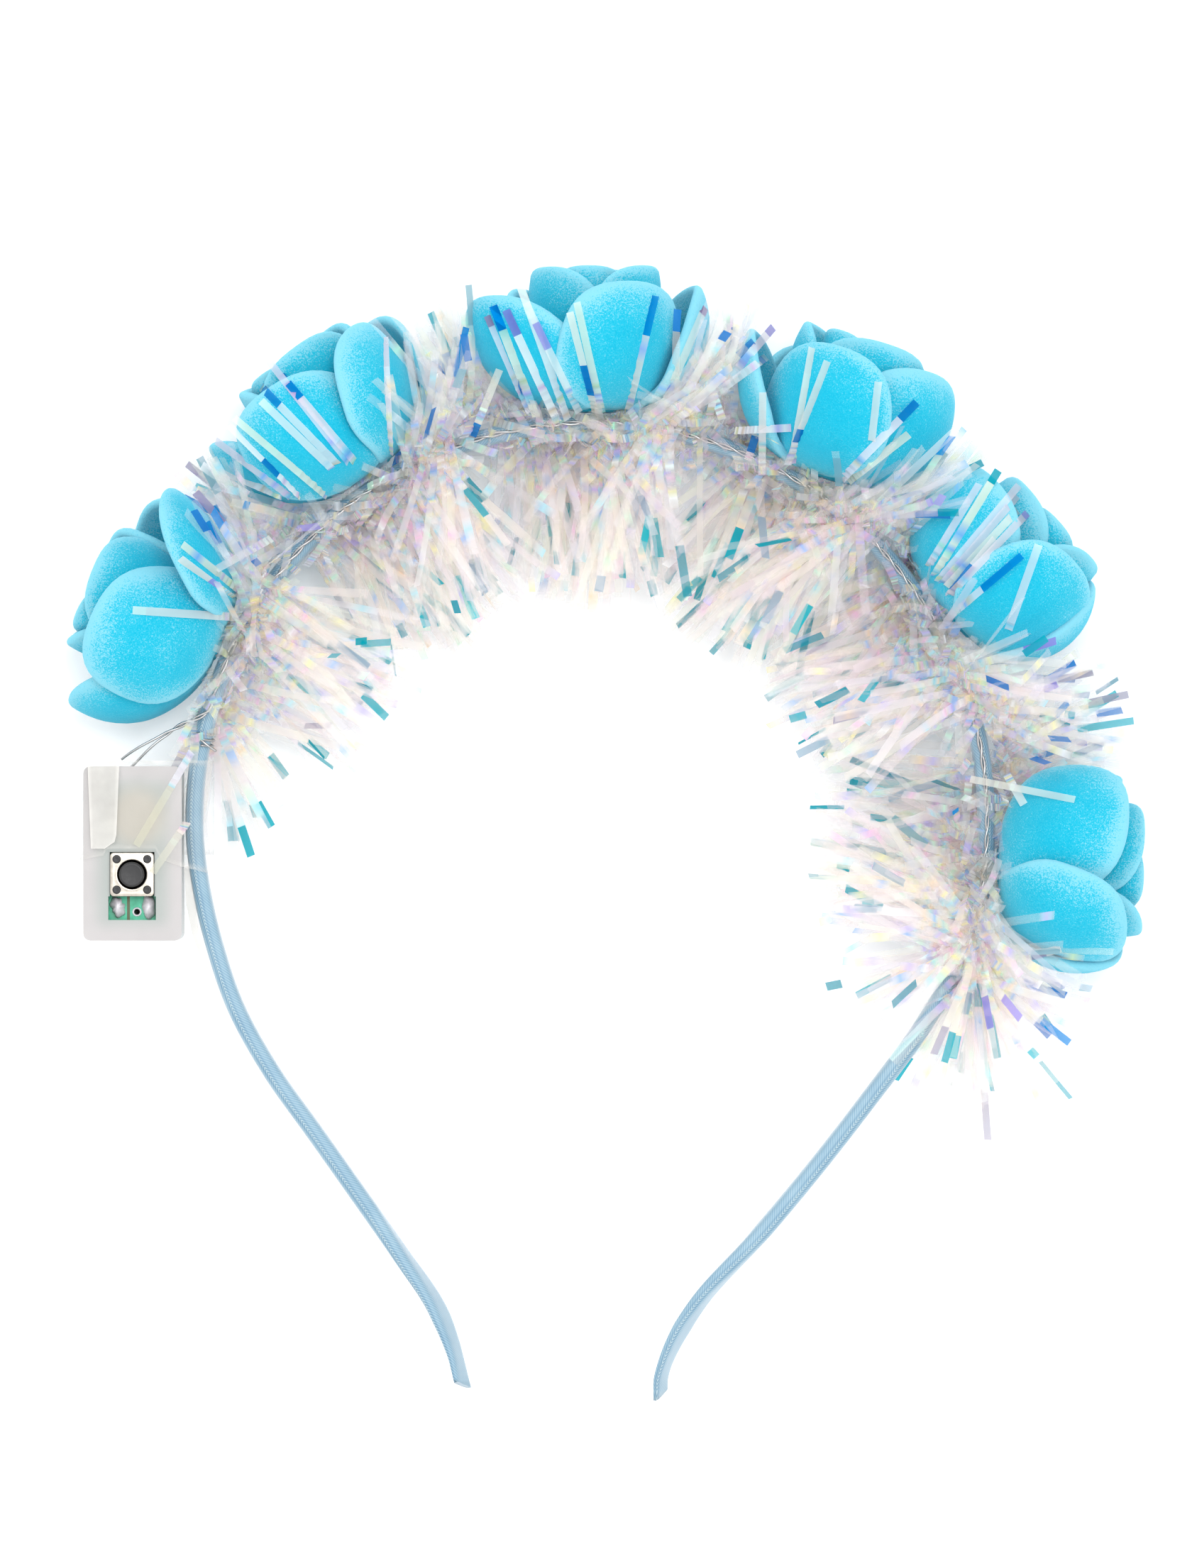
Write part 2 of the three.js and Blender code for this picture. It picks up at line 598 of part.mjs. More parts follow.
function corePath(perTurn) {
  const shares = ROSES.map((rose) => shareAtAngle(rose.atDeg));
  const last = shares.length - 1;
  const leadIn = shares[0] - GARLAND_LEAD_IN * (shares[1] - shares[0]);
  const runOut = shares[last] + GARLAND_RUN_OUT * (shares[last] - shares[last - 1]);
  const knots = [leadIn, ...shares, runOut];
  const turns = [-GARLAND_LEAD_IN, ...shares.keys(), last + GARLAND_RUN_OUT];
  const frames = [];
  for (let k = 0; k + 1 < knots.length; k += 1) {
    const count = Math.max(2, Math.round((turns[k + 1] - turns[k]) * perTurn));
    for (let step = k === 0 ? 0 : 1; step <= count; step += 1) {
      const share = THREE.MathUtils.lerp(knots[k], knots[k + 1], step / count);
      frames.push(coreFrame(share, THREE.MathUtils.lerp(turns[k], turns[k + 1], step / count)));
    }
  }
  return frames;
}

function lockGeometry(root, tip, widthways, margin) {
  const along = new THREE.Vector3().subVectors(tip, root).normalize();
  const side = widthways.clone().addScaledVector(along, -along.dot(widthways)).normalize();
  const ridge = new THREE.Vector3().crossVectors(along, side);
  const ring = (centre, width, depth) => [[-1, -1], [1, -1], [0, 1]].map(([x, y]) =>
    centre.clone().addScaledVector(side, (x * width) / 2).addScaledVector(ridge, (y * depth) / 2));
  const rootRing = ring(root, LOCK_ROOT_WIDTH + margin, LOCK_DEPTH + margin);
  const tipRing = ring(tip, LOCK_TIP_WIDTH + margin, LOCK_DEPTH + margin);
  return loft([rootRing, tipRing]);
}

function makeGarland() {
  headband.updateMatrixWorld(true);
  const placed = [];
  headband.traverse((node) => {
    if (node.isMesh) placed.push(solidOf(node.geometry.clone().applyMatrix4(node.matrixWorld)));
  });
  const obstacles = wasm.Manifold.union(placed);
  const floor = obstacles.boundingBox().min[2] + FLOOR_CLEARANCE;

  const corePoints = corePath(CORE_STEPS_PER_TURN).map((frame) => frame.point);
  const core = tube(corePoints, CORE_RADIUS, CORE_SIDES, CORE_STEPS);
  const locks = [];
  corePath(LOCK_FANS_PER_TURN).forEach(({ point, across, tangent, turns }, k) => {
    const lean = LOCK_LEAN * Math.sin(2 * Math.PI * turns);
    for (const { turnDeg, share } of LOCK_FANS[k % LOCK_FANS.length]) {
      const turn = Math.PI + rad(turnDeg);
      const direction = across.clone().multiplyScalar(Math.cos(turn));
      direction.addScaledVector(UP, LOCK_RISE * Math.sin(turn));
      direction.addScaledVector(tangent, lean * Math.abs(Math.cos(turn))).normalize();
      const tip = point.clone().addScaledVector(direction, LOCK_LENGTH * share);
      const free = solidOf(lockGeometry(point, tip, tangent, LOCK_MARGIN)).intersect(obstacles).isEmpty();
      if (free && tip.z > floor + LOCK_DEPTH) locks.push(lockGeometry(point, tip, tangent, 0));
    }
  });
  addPiece(headband, "tinsel_garland", joined([core, ...locks]), "film");
}

makeBand();
ROSES.forEach((rose, k) => makeRose(rose, k + 1));
makeLights();
makeCase();
makeSwitch();
makeTape();
makeGarland();

// The origin is under the middle of the headband, on the table
headband.updateMatrixWorld(true);
const reach = new THREE.Box3().setFromObject(headband, true);
headband.position.set(-(reach.min.x + reach.max.x) / 2, -(reach.min.y + reach.max.y) / 2, -reach.min.z);

export default headband;
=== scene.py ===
"""Looks of a light-up flower headband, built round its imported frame.

Lengths in the tables are millimetres from the centre of the crown, as in the part's source.
"""
import math

import bpy
import numpy as np
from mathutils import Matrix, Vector
from mathutils.bvhtree import BVHTree


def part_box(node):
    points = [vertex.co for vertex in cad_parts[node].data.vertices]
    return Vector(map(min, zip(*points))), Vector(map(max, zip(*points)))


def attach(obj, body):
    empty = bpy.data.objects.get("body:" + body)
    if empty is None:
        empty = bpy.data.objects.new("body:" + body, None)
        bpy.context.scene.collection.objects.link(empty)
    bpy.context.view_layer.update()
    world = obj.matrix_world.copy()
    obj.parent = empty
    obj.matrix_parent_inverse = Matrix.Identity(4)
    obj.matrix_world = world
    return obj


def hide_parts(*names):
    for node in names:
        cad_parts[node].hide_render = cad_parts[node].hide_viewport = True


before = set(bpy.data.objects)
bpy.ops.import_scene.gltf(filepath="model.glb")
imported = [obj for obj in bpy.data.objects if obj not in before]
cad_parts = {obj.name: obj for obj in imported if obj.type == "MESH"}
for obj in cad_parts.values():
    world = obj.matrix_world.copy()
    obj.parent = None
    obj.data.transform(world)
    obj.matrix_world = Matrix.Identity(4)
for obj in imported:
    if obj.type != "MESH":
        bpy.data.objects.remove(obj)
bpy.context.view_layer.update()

# Repeated from the part's source
GAP = 0.3
CROWN_RADIUS = 55.8
CROWN_STEP_DEG = 8
CROWN_SEGMENTS = 23
BAND_THICKNESS = 2.5
BAND_WIDTH = 5
LEG_SEGMENTS = 10
ROSE_HUB_RADIUS = 3.4
INNER_TURN_DEG = 36
BUD_TURN_DEG = -30
PETAL_THICKNESS = 1.3
FULL_WIDTH_AT = 0.6
SOLID_WIRE_RADIUS = 0.35
BEAD_RADIUS = 1.5
WIRE_FROM_DEG = 164
WIRE_TO_DEG = -10
WIRE_RISE_DEG = 13
WIRE_LOW = BAND_WIDTH / 2 + GAP + SOLID_WIRE_RADIUS
WIRE_HIGH = BAND_WIDTH / 2 + GAP + BEAD_RADIUS
CORE_REACH_ACROSS = 2.9
CORE_REACH_UP = 5.1
GARLAND_LEAD_IN = 0.36
CASE = {"left": -71.2, "right": -57.4, "bottom": -17, "top": 7.5, "back": -5.2, "front": 5.2}
CASE_WALL = 0.9
WINDOW = {"left": -67.7, "right": -61, "bottom": -14.1, "top": -4.4}
SWITCH_SIZE = 6
SWITCH_HEIGHT = 3.5
SWITCH_FLOOR = 0.4
PLATE_PROUD = 0.25
PLATE_THICKNESS = 0.3
PLATE_CORNER = 0.5
PLATE_TOP = CASE["front"] + PLATE_PROUD
BOARD_FRONT = PLATE_TOP - SWITCH_HEIGHT
SWITCH_X = (WINDOW["left"] + WINDOW["right"]) / 2
SWITCH_Y = WINDOW["top"] - GAP - SWITCH_SIZE / 2
BUTTON_RADIUS = 1.75
BUTTON_RISE = 1.5
RIVET_SPACING = 4.3
RIVET_RADIUS = 0.6
BUTTON_TRAVEL = 0.25
TEST_HOLE = (-63.8, -13)
CELL_AT = (-63.7, 0.4)
TAPE_THICKNESS = 0.25
TAPE_TOP = 8.3
TAPE_SLACK = 1
LEFT_LEG = [(-53.8, -14.5), (-48.6, -29.4), (-38.7, -44.3), (-28.2, -59.2), (-20.8, -70.5), (-18, -79.7)]
RIGHT_LEG = [(54.4, -14), (48.2, -27), (36.8, -42.6), (25.5, -56.7), (14.8, -68.7), (10.2, -77.5),
             (9.9, -81)]
WIRE_LEAD = [(-65.4, CASE["top"] + GAP, 3), (-62.4, 10.2, 3.8), (-58, 13, 3.6)]

# As in the source, changed where the photo shows more than the solids do
GARLAND_RUN_OUT = 0.46
# from the tip, thickness, width, twist in degrees
TIP_SECTIONS = [(0, 0.9, 4.4, 22), (4, 1.2, 5, 16), (10, 1.6, 5.2, 19), (17, 2, 5.2, 11),
                (28, BAND_THICKNESS, BAND_WIDTH, 0)]
OUTER_RING = dict(petals=5, length=24, width=23, root_share=0.44, base_deg=90, tip_deg=-25,
                  start_radius=2.6, start_height=0.8, cup=11.5, lift=2.4, fullness=2.3)
INNER_RING = dict(petals=3, length=20.5, width=21, root_share=0.4, base_deg=60, tip_deg=-15,
                  start_radius=1, start_height=2.8, cup=8.5, lift=1.2, fullness=2.6)
BUD_RING = dict(petals=2, length=16, width=14, root_share=0.5, base_deg=50, tip_deg=-12,
                start_radius=1, start_height=6, cup=5, lift=0.4, fullness=2.6)
BUD_PROFILE = [(0, 4.7), (2, 4.7), (3.2, 11), (2.4, 17), (0, 19)]
# place on the crown, lean, turn, which edge of the petals is on top, and the opened petals
ROSES = [
    (154, 4, -17, -1, {1: 34, 4: 12}),
    (122, 5, -24, -1, {4: 14}),
    (89, 1, 18, -1, {4: 26}),
    (55.5, 17, -15, 1, {1: -14, 2: -6, 4: 14}),
    (28.5, 14, 24, -1, {1: -30, 4: 6}),
    (-7, 6, 36, -1, {1: -16}),
]
# side, place on the board, half width, half height, seed
SOLDER_LUMPS = [("left", -66.5, -12.3, 1.0, 1.25, 3), ("right", -62.1, -12.3, 0.95, 1.6, 5)]

# For the looks alone
PLATE_LIP = 0.08
LIP_GAP = 0.07
TRACE_X = -65.0
RIDGE_RISE = 0.16
RIDGE_AT = -0.45
# the tape's lower edge across its front, and its overlap's left, right and lower end
TAPE_LOWER_EDGE = [(-71.6, -5.7), (-68.2, -5.0), (-67.9, -4.1), (-60.9, -4.1), (-60.4, -5.6),
                   (-57.4, -6.6), (-53, -7.7)]
TAPE_FOLD = (-70.6, -66.1, -4.1)
# the tape's loose edge beside the band: place and width
TAPE_TAIL = [(-56.5, -6.6, 1.4), (-56.2, -12, 1.3), (-55.6, -16, 0.9), (-54.6, -19.5, 0.6),
             (-53.6, -22.4, 0.3)]
TAPE_TAIL_HEIGHT = 1.6
# strips that lie over the roses and the case: root, tip, the root's height, and on some a block of colour,
# a painted reflection where it is blue, violet or teal, with the shares of the length that it starts and
# ends at
FRONT_STRIPS = [
    (-49.7, 28.5, -64.5, 29.5, 5), (-49.2, 32.1, -57.5, 38.8, 5),
    (-50.5, 31.3, -57.8, 36.8, 5, "violet", 0.4, 0.55), (-45.0, 39.6, -52.8, 35.2, 6),
    (-33.0, 50.2, -43.6, 62.7, 5, "blue", 0.66, 1), (-33.8, 50.0, -45.3, 64.6, 5),
    (-35.4, 49.8, -46.4, 61.0, 5, "blue", 0.58, 0.82), (-36.2, 49.2, -46.4, 59.0, 5),
    (-37.2, 45.6, -50.2, 56.6, 5), (-40.8, 45.5, -51.0, 55.6, 5, "blue", 0.42, 0.58),
    (-42.2, 45.4, -52.8, 53.4, 5), (-43.6, 45.6, -53.0, 49.6, 5), (-28.2, 51.6, -29.0, 68.0, 5),
    (1.6, 57.4, -1.9, 72.9, 5), (0.7, 57.4, -2.9, 71.5, 5, "blue", 0.28, 0.52),
    (5.4, 57.8, 9.2, 73.8, 5, "blue", 0.62, 1), (-1.6, 57.4, -8.6, 71.8, 5, "violet", 0.62, 0.9),
    (-3.2, 56.4, -9.8, 75.0, 5), (-4.6, 56.0, -11.9, 71.8, 5, "violet", 0.8, 1),
    (-7.6, 56.8, -13.7, 72.4, 5, "blue", 0.72, 1), (-8.6, 57.4, -14.5, 71.0, 5, "violet", 0.85, 1),
    (10.2, 58.2, 16.2, 72.2, 5, "violet", 0.86, 1), (10.6, 57.6, 20.2, 68.8, 5),
    (12.4, 58.8, 20.9, 66.2, 5), (18.6, 56.4, 15.0, 66.6, 5),
    (-16.6, 54.0, -12.8, 63.4, 5, "blue", 0, 0.16), (28.4, 50.2, 31.3, 66.5, 5),
    (27.8, 50.0, 33.4, 64.6, 5, "blue", 0.25, 0.42), (24.2, 48.6, 24.3, 60.2, 5),
    (20.4, 54.8, 28.3, 55.2, 6), (22.2, 50.6, 23.4, 54.4, 5, "blue", 0.3, 0.9),
    (35.4, 47.9, 46.0, 58.8, 5, "blue", 0.78, 1), (36.4, 47.7, 44.9, 54.3, 5),
    (39.6, 53.0, 40.6, 61.7, 6), (18.2, 60.6, 25.8, 69.4, 5, "violet", 0.78, 1),
    (17.6, 62.4, 23.0, 67.4, 5, "blue", 0.55, 1), (18.2, 60.4, 24.8, 65.2, 5, "blue", 0.45, 0.75),
    (47.6, 35.6, 54.8, 47.3, 5), (48.4, 34.2, 57.5, 49.2, 5, "teal", 0.9, 1),
    (48.8, 33.4, 60.4, 47.1, 5, "teal", 0.92, 1), (49.4, 33.0, 60.2, 45.6, 5),
    (50.0, 32.6, 60.2, 43.6, 5), (50.4, 31.4, 61.6, 43.2, 5, "violet", 0.85, 1),
    (50.4, 31.6, 57.0, 39.6, 5, "blue", 0.3, 0.68), (50.4, 28.4, 60.8, 37.2, 5, "blue", 0.6, 1),
    (58.8, 26.4, 63.2, 38.7, 5), (53.6, 5.7, 68.3, 2.8, 5), (58.7, 6.3, 61.1, 2.1, 6),
    (57.3, -9.6, 56.1, -12.4, 5), (61.0, -19.6, 66.3, -18.2, 5, "violet", 0.2, 0.6),
    (-56.2, 9.5, -64.0, -3.7, 5.2, "cream", 0.35, 1), (-56.9, -0.5, -61.7, -7.5, 4.4, "cream", 0.3, 1),
]

# The crown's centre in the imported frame
band_low, band_high = (np.array(corner) * 1000 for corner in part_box("band"))
ORIGIN = np.array([
    (band_low[0] + band_high[0]) / 2,
    band_high[1] - (CROWN_RADIUS + BAND_THICKNESS / 2) * math.cos(math.radians(CROWN_STEP_DEG / 2)),
    (band_low[2] + band_high[2]) / 2,
])
FLOOR_Z = -ORIGIN[2]
UP = np.array([0.0, 0.0, 1.0])


# Small helpers
def lerp(a, b, share):
    return a + (b - a) * share


def smoothstep(value, low, high):
    share = np.clip((value - low) / (high - low), 0, 1)
    return share * share * (3 - 2 * share)


def unit(vector):
    vector = np.asarray(vector, float)
    return vector / np.maximum(np.linalg.norm(vector, axis=-1, keepdims=True), 1e-9)


def srgb(red, green, blue):
    shares = [channel / 255 for channel in (red, green, blue)]
    return (*(c / 12.92 if c <= 0.04045 else ((c + 0.055) / 1.055) ** 2.4 for c in shares), 1.0)


def srgb_list(*rows):
    return [srgb(*row) for row in rows]


def crown_point(deg, radius=CROWN_RADIUS, z=0.0):
    angle = np.radians(deg)
    return np.stack([radius * np.cos(angle), radius * np.sin(angle), z + 0 * angle], -1)


def run_along(line):
    """How far along a line each of its points is."""
    return np.concatenate([[0], np.cumsum(np.linalg.norm(np.diff(line, axis=0), axis=1))])


def at_run(wanted, run, line):
    """The places on a line that are the wanted distances along it."""
    return np.stack([np.interp(wanted, run, column) for column in line.T], -1)


def swung(angles, first, second):
    """Directions turned from the first towards the second, one for each angle."""
    return np.cos(angles)[:, None] * first + np.sin(angles)[:, None] * second


def add_piece(name, points, faces, material, body="headband", slot=None, replaces=(), flat=False):
    """A mesh piece from millimetre points in the crown's frame, riding on its body."""
    mesh = bpy.data.meshes.new(name)
    metres = (np.asarray(points, float) + ORIGIN) / 1000
    mesh.from_pydata(metres.tolist(), [], [list(map(int, face)) for face in faces])
    mesh.update()
    if not flat:
        mesh.shade_smooth()
    piece = bpy.data.objects.new(name, mesh)
    bpy.context.scene.collection.objects.link(piece)
    mesh.materials.append(material)
    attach(piece, body)
    if replaces:
        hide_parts(*replaces)
    return piece


solid_shapes = []


class Shape:
    """Points and faces gathered from several closed forms, with one value per point for each attribute."""

    def __init__(self):
        self.points, self.faces, self.values, self.count = [], [], {}, 0

    def add(self, points, faces, **values):
        self.points.append(np.asarray(points, float))
        self.faces.extend([tuple(index + self.count for index in face) for face in faces])
        for name, value in values.items():
            self.values.setdefault(name, []).append(np.broadcast_to(value, (len(points),)))
        self.count += len(points)

    def piece(self, name, material, **settings):
        made = add_piece(name, np.concatenate(self.points), self.faces, material, **settings)
        for key, parts in self.values.items():
            attribute = made.data.attributes.new(key, "FLOAT", "POINT")
            attribute.data.foreach_set("value", np.concatenate(parts).astype(np.float32))
        return made


def grid_faces(rows, columns, closed=False):
    across = columns if closed else columns - 1
    return [(r * columns + c, r * columns + (c + 1) % columns,
             (r + 1) * columns + (c + 1) % columns, (r + 1) * columns + c)
            for r in range(rows - 1) for c in range(across)]


def lathe(rows, sides):
    """A turned form about Z from rows of radius and height; it closes where the radius is 0."""
    angles = np.linspace(0, 2 * math.pi, sides, endpoint=False)
    points, rings = [], []
    for radius, height in rows:
        ring = [(0, 0, height)] if radius < 1e-6 else [
            (radius * math.cos(a), radius * math.sin(a), height) for a in angles]
        rings.append(range(len(points), len(points) + len(ring)))
        points.extend(ring)
    faces = []
    for low, high in zip(rings, rings[1:]):
        for k in range(sides):
            n = (k + 1) % sides
            if len(low) == 1 and len(high) > 1:
                faces.append((low[0], high[n], high[k]))
            elif len(high) == 1 and len(low) > 1:
                faces.append((low[k], low[n], high[0]))
            elif len(low) > 1:
                faces.append((low[k], low[n], high[n], high[k]))
    return np.array(points, float), faces


def path_frames(path):
    """Tangents, and two directions square to them that don't spin along the path."""
    tangents = unit(np.gradient(path, axis=0))
    side = unit(np.cross(tangents[0], UP if abs(tangents[0][2]) < 0.9 else (1, 0, 0)))
    sides = []
    for tangent in tangents:
        side = unit(side - tangent * np.dot(side, tangent))
        sides.append(side)
    sides = np.array(sides)
    return tangents, sides, np.cross(tangents, sides)


def tube(path, radius, sides=8):
    path = np.asarray(path, float)
    _, first, second = path_frames(path)
    angles = np.linspace(0, 2 * math.pi, sides, endpoint=False)
    rings = path[:, None] + radius * (np.cos(angles)[None, :, None] * first[:, None]
                                      + np.sin(angles)[None, :, None] * second[:, None])
    count = len(path)
    points = np.concatenate([rings.reshape(-1, 3), path[:1], path[-1:]])
    faces = [face[::-1] for face in grid_faces(count, sides, closed=True)]
    start, end = count * sides, count * sides + 1
    for k in range(sides):
        n = (k + 1) % sides
        faces.append((start, k, n))
        faces.append((end, (count - 1) * sides + n, (count - 1) * sides + k))
    return points, faces


def centripetal(points, shares):
    """Points on a centripetal Catmull-Rom curve, as the part's source draws it."""
    points = np.asarray(points, float)
    ends = [2 * points[0] - points[1], *points, 2 * points[-1] - points[-2]]
    result = []
    for share in shares:
        place = share * (len(points) - 1)
        k = min(int(place), len(points) - 2)
        t = place - k
        a, b, c, d = ends[k:k + 4]
        step_a, step_b, step_c = (np.linalg.norm(q - p) ** 0.5 for p, q in ((a, b), (b, c), (c, d)))
        first = ((b - a) / step_a - (c - a) / (step_a + step_b) + (c - b) / step_b) * step_b
        second = ((c - b) / step_b - (d - b) / (step_b + step_c) + (d - c) / step_c) * step_b
        cubic = 2 * b - 2 * c + first + second
        square = -3 * b + 3 * c - 2 * first - second
        result.append(b + first * t + square * t * t + cubic * t ** 3)
    return np.array(result)


# Materials
def new_material(name, **sockets):
    material = bpy.data.materials.new(name)
    material.use_nodes = True
    shader = material.node_tree.nodes["Principled BSDF"]
    for socket, value in sockets.items():
        shader.inputs[socket.replace("_", " ")].default_value = value
    return material


def add_node(material, kind, inputs=None, **settings):
    node = material.node_tree.nodes.new(kind)
    for key, value in settings.items():
        setattr(node, key, value)
    for key, value in (inputs or {}).items():
        if isinstance(value, bpy.types.NodeSocket):
            material.node_tree.links.new(value, node.inputs[key])
        else:
            node.inputs[key].default_value = value
    return node


def feed(material, socket, output):
    shader = material.node_tree.nodes["Principled BSDF"]
    material.node_tree.links.new(output, shader.inputs[socket])


def noise(material, scale, detail=2.0, roughness=0.5):
    place = add_node(material, "ShaderNodeTexCoord").outputs["Object"]
    return add_node(material, "ShaderNodeTexNoise", {
        "Vector": place, "Scale": scale, "Detail": detail, "Roughness": roughness}).outputs["Fac"]


def math_node(material, operation, first, second=0.0, third=0.0, clamp=False):
    return add_node(material, "ShaderNodeMath", {0: first, 1: second, 2: third},
                    operation=operation, use_clamp=clamp).outputs[0]


def scaled(material, value, factor, added=0.0, clamp=False):
    return math_node(material, "MULTIPLY_ADD", value, factor, added, clamp)


def ramp(material, value, stops):
    node = add_node(material, "ShaderNodeValToRGB", {"Fac": value})
    elements = node.color_ramp.elements
    elements[0].position, elements[0].color = stops[0]
    elements[1].position, elements[1].color = stops[-1]
    for position, colour in stops[1:-1]:
        elements.new(position).color = colour
    return node.outputs["Color"]


def bump(material, height, strength, distance):
    node = add_node(material, "ShaderNodeBump", {
        "Height": height, "Strength": strength, "Distance": distance})
    feed(material, "Normal", node.outputs["Normal"])


def read_attribute(material, name, output="Fac"):
    return add_node(material, "ShaderNodeAttribute", attribute_name=name).outputs[output]


def see_through(material, share, through=None, through_share=0.0):
    """Lets a share of the light straight through a thin film, and a part of the rest through scattered."""
    tree = material.node_tree
    surface = tree.nodes["Principled BSDF"].outputs[0]
    if through:
        surface = add_node(material, "ShaderNodeMixShader", {
            0: through_share, 1: surface, 2: through}).outputs[0]
    clear = add_node(material, "ShaderNodeBsdfTransparent").outputs[0]
    mixed = add_node(material, "ShaderNodeMixShader", {0: share, 1: surface, 2: clear}).outputs[0]
    tree.links.new(mixed, tree.nodes["Material Output"].inputs["Surface"])


def fade(material, value, near, far):
    """1 up to near, then falling softly to 0 at far."""
    return add_node(material, "ShaderNodeMapRange", {
        "Value": value, "From Min": near, "From Max": far, "To Min": 1.0, "To Max": 0.0},
        interpolation_type="SMOOTHSTEP").outputs[0]


def blended(material, share, first, second):
    node = add_node(material, "ShaderNodeMix", {0: share, 6: first, 7: second}, data_type="RGBA")
    return node.outputs[2]


def part_axes(material):
    """Millimetres from the centre of the crown, for paint that follows the part."""
    place = add_node(material, "ShaderNodeTexCoord").outputs["Object"]
    split = add_node(material, "ShaderNodeSeparateXYZ", {"Vector": place}).outputs
    return [scaled(material, split[k], 1000.0, -float(ORIGIN[k])) for k in range(3)]


def off_from(material, value, centre):
    return math_node(material, "ABSOLUTE", math_node(material, "SUBTRACT", value, centre))


def foam_material():
    material = new_material("foam", Roughness=0.92, Sheen_Weight=0.5, Sheen_Roughness=0.5,
                            Sheen_Tint=srgb(150, 228, 252), Specular_IOR_Level=0.2)
    rim = read_attribute(material, "rim")
    tone = read_attribute(material, "tone")
    grain = noise(material, 4800, 2.0, 0.6)
    cloud = noise(material, 170, 2.0)
    coarse = noise(material, 2600, 2.0, 0.6)
    level = scaled(material, grain, 1.5, -0.75)
    level = scaled(material, coarse, 0.5, math_node(material, "ADD", level, -0.25))
    level = math_node(material, "ADD", level, tone)
    level = scaled(material, cloud, 0.5, level)
    # painted sheen: the foam is lighter towards the petals' edges and on the bud's hub
    level = scaled(material, rim, 0.7, level, clamp=True)
    colour = ramp(material, level, [
        (0.0, srgb(0, 152, 182)), (0.38, srgb(0, 160, 189)),
        (0.68, srgb(36, 166, 191)), (1.0, srgb(116, 185, 202))])
    feed(material, "Base Color", colour)
    bump(material, scaled(material, coarse, 0.6, grain), 0.4, 0.0003)
    return material


def ribbon_material():
    material = new_material("ribbon", Roughness=0.42, Sheen_Weight=0.25, Sheen_Roughness=0.4,
                            Specular_IOR_Level=0.5, Anisotropic=0.4)
    place = add_node(material, "ShaderNodeUVMap", uv_map="ribbon").outputs["UV"]
    split = add_node(material, "ShaderNodeSeparateXYZ", {"Vector": place}).outputs
    slant = off_from(material, split["Y"], RIDGE_AT)
    phase = scaled(material, slant, 1.2, split["X"])
    twill = math_node(material, "SINE", math_node(material, "MULTIPLY", phase, 2 * math.pi / 0.5))
    ridge = fade(material, slant, 0.08, 0.42)
    beside = math_node(material, "SUBTRACT", fade(material, slant, 0.3, 0.62), ridge)
    depth = scaled(material, ridge, 0.26, 0.17)
    weave = scaled(material, twill, depth, 0.36)
    weave = scaled(material, ridge, 0.16, weave)
    shade = scaled(material, beside, -0.3, weave)
    shade = scaled(material, noise(material, 260), 0.3, shade)
    feed(material, "Base Color", ramp(material, shade, [
        (0.05, srgb(82, 121, 148)), (0.5, srgb(120, 152, 171)), (0.95, srgb(158, 180, 189))]))
    bump(material, shade, 0.6, 0.00012)
    return material


SCATTERED = 0.58  # share of a film's face that lets light through scattered


def film_material():
    material = new_material("film", Roughness=0.14, Specular_IOR_Level=0.7, IOR=1.85,
                            Thin_Film_Thickness=420.0, Thin_Film_IOR=1.8)
    tint = read_attribute(material, "tint", "Color")
    feed(material, "Base Color", tint)
    feed(material, "Specular Tint", tint)
    through = add_node(material, "ShaderNodeBsdfTranslucent", {"Color": tint}).outputs[0]
    see_through(material, read_attribute(material, "clear"), through, SCATTERED)
    return material


def metal_material(name, colour, roughness, scale, metallic=1.0):
    material = new_material(name, Metallic=metallic)
    grain = noise(material, scale, 4.0, 0.6)
    dark = tuple(0.72 * c for c in colour[:3]) + (1.0,)
    feed(material, "Base Color", ramp(material, grain, [(0.25, dark), (0.75, colour)]))
    feed(material, "Roughness", scaled(material, grain, 0.25, roughness - 0.1))
    bump(material, grain, 0.12, 0.0001)
    return material


def moulded_material(name, colour, roughness, **sockets):
    material = new_material(name, **sockets)
    grain = noise(material, 2600, 3.0, 0.6)
    dark = tuple(0.82 * c for c in colour[:3]) + (1.0,)
    feed(material, "Base Color", ramp(material, noise(material, 300), [(0.3, dark), (0.7, colour)]))
    feed(material, "Roughness", scaled(material, grain, 0.2, roughness - 0.1))
    bump(material, grain, 0.15, 0.0001)
    return material


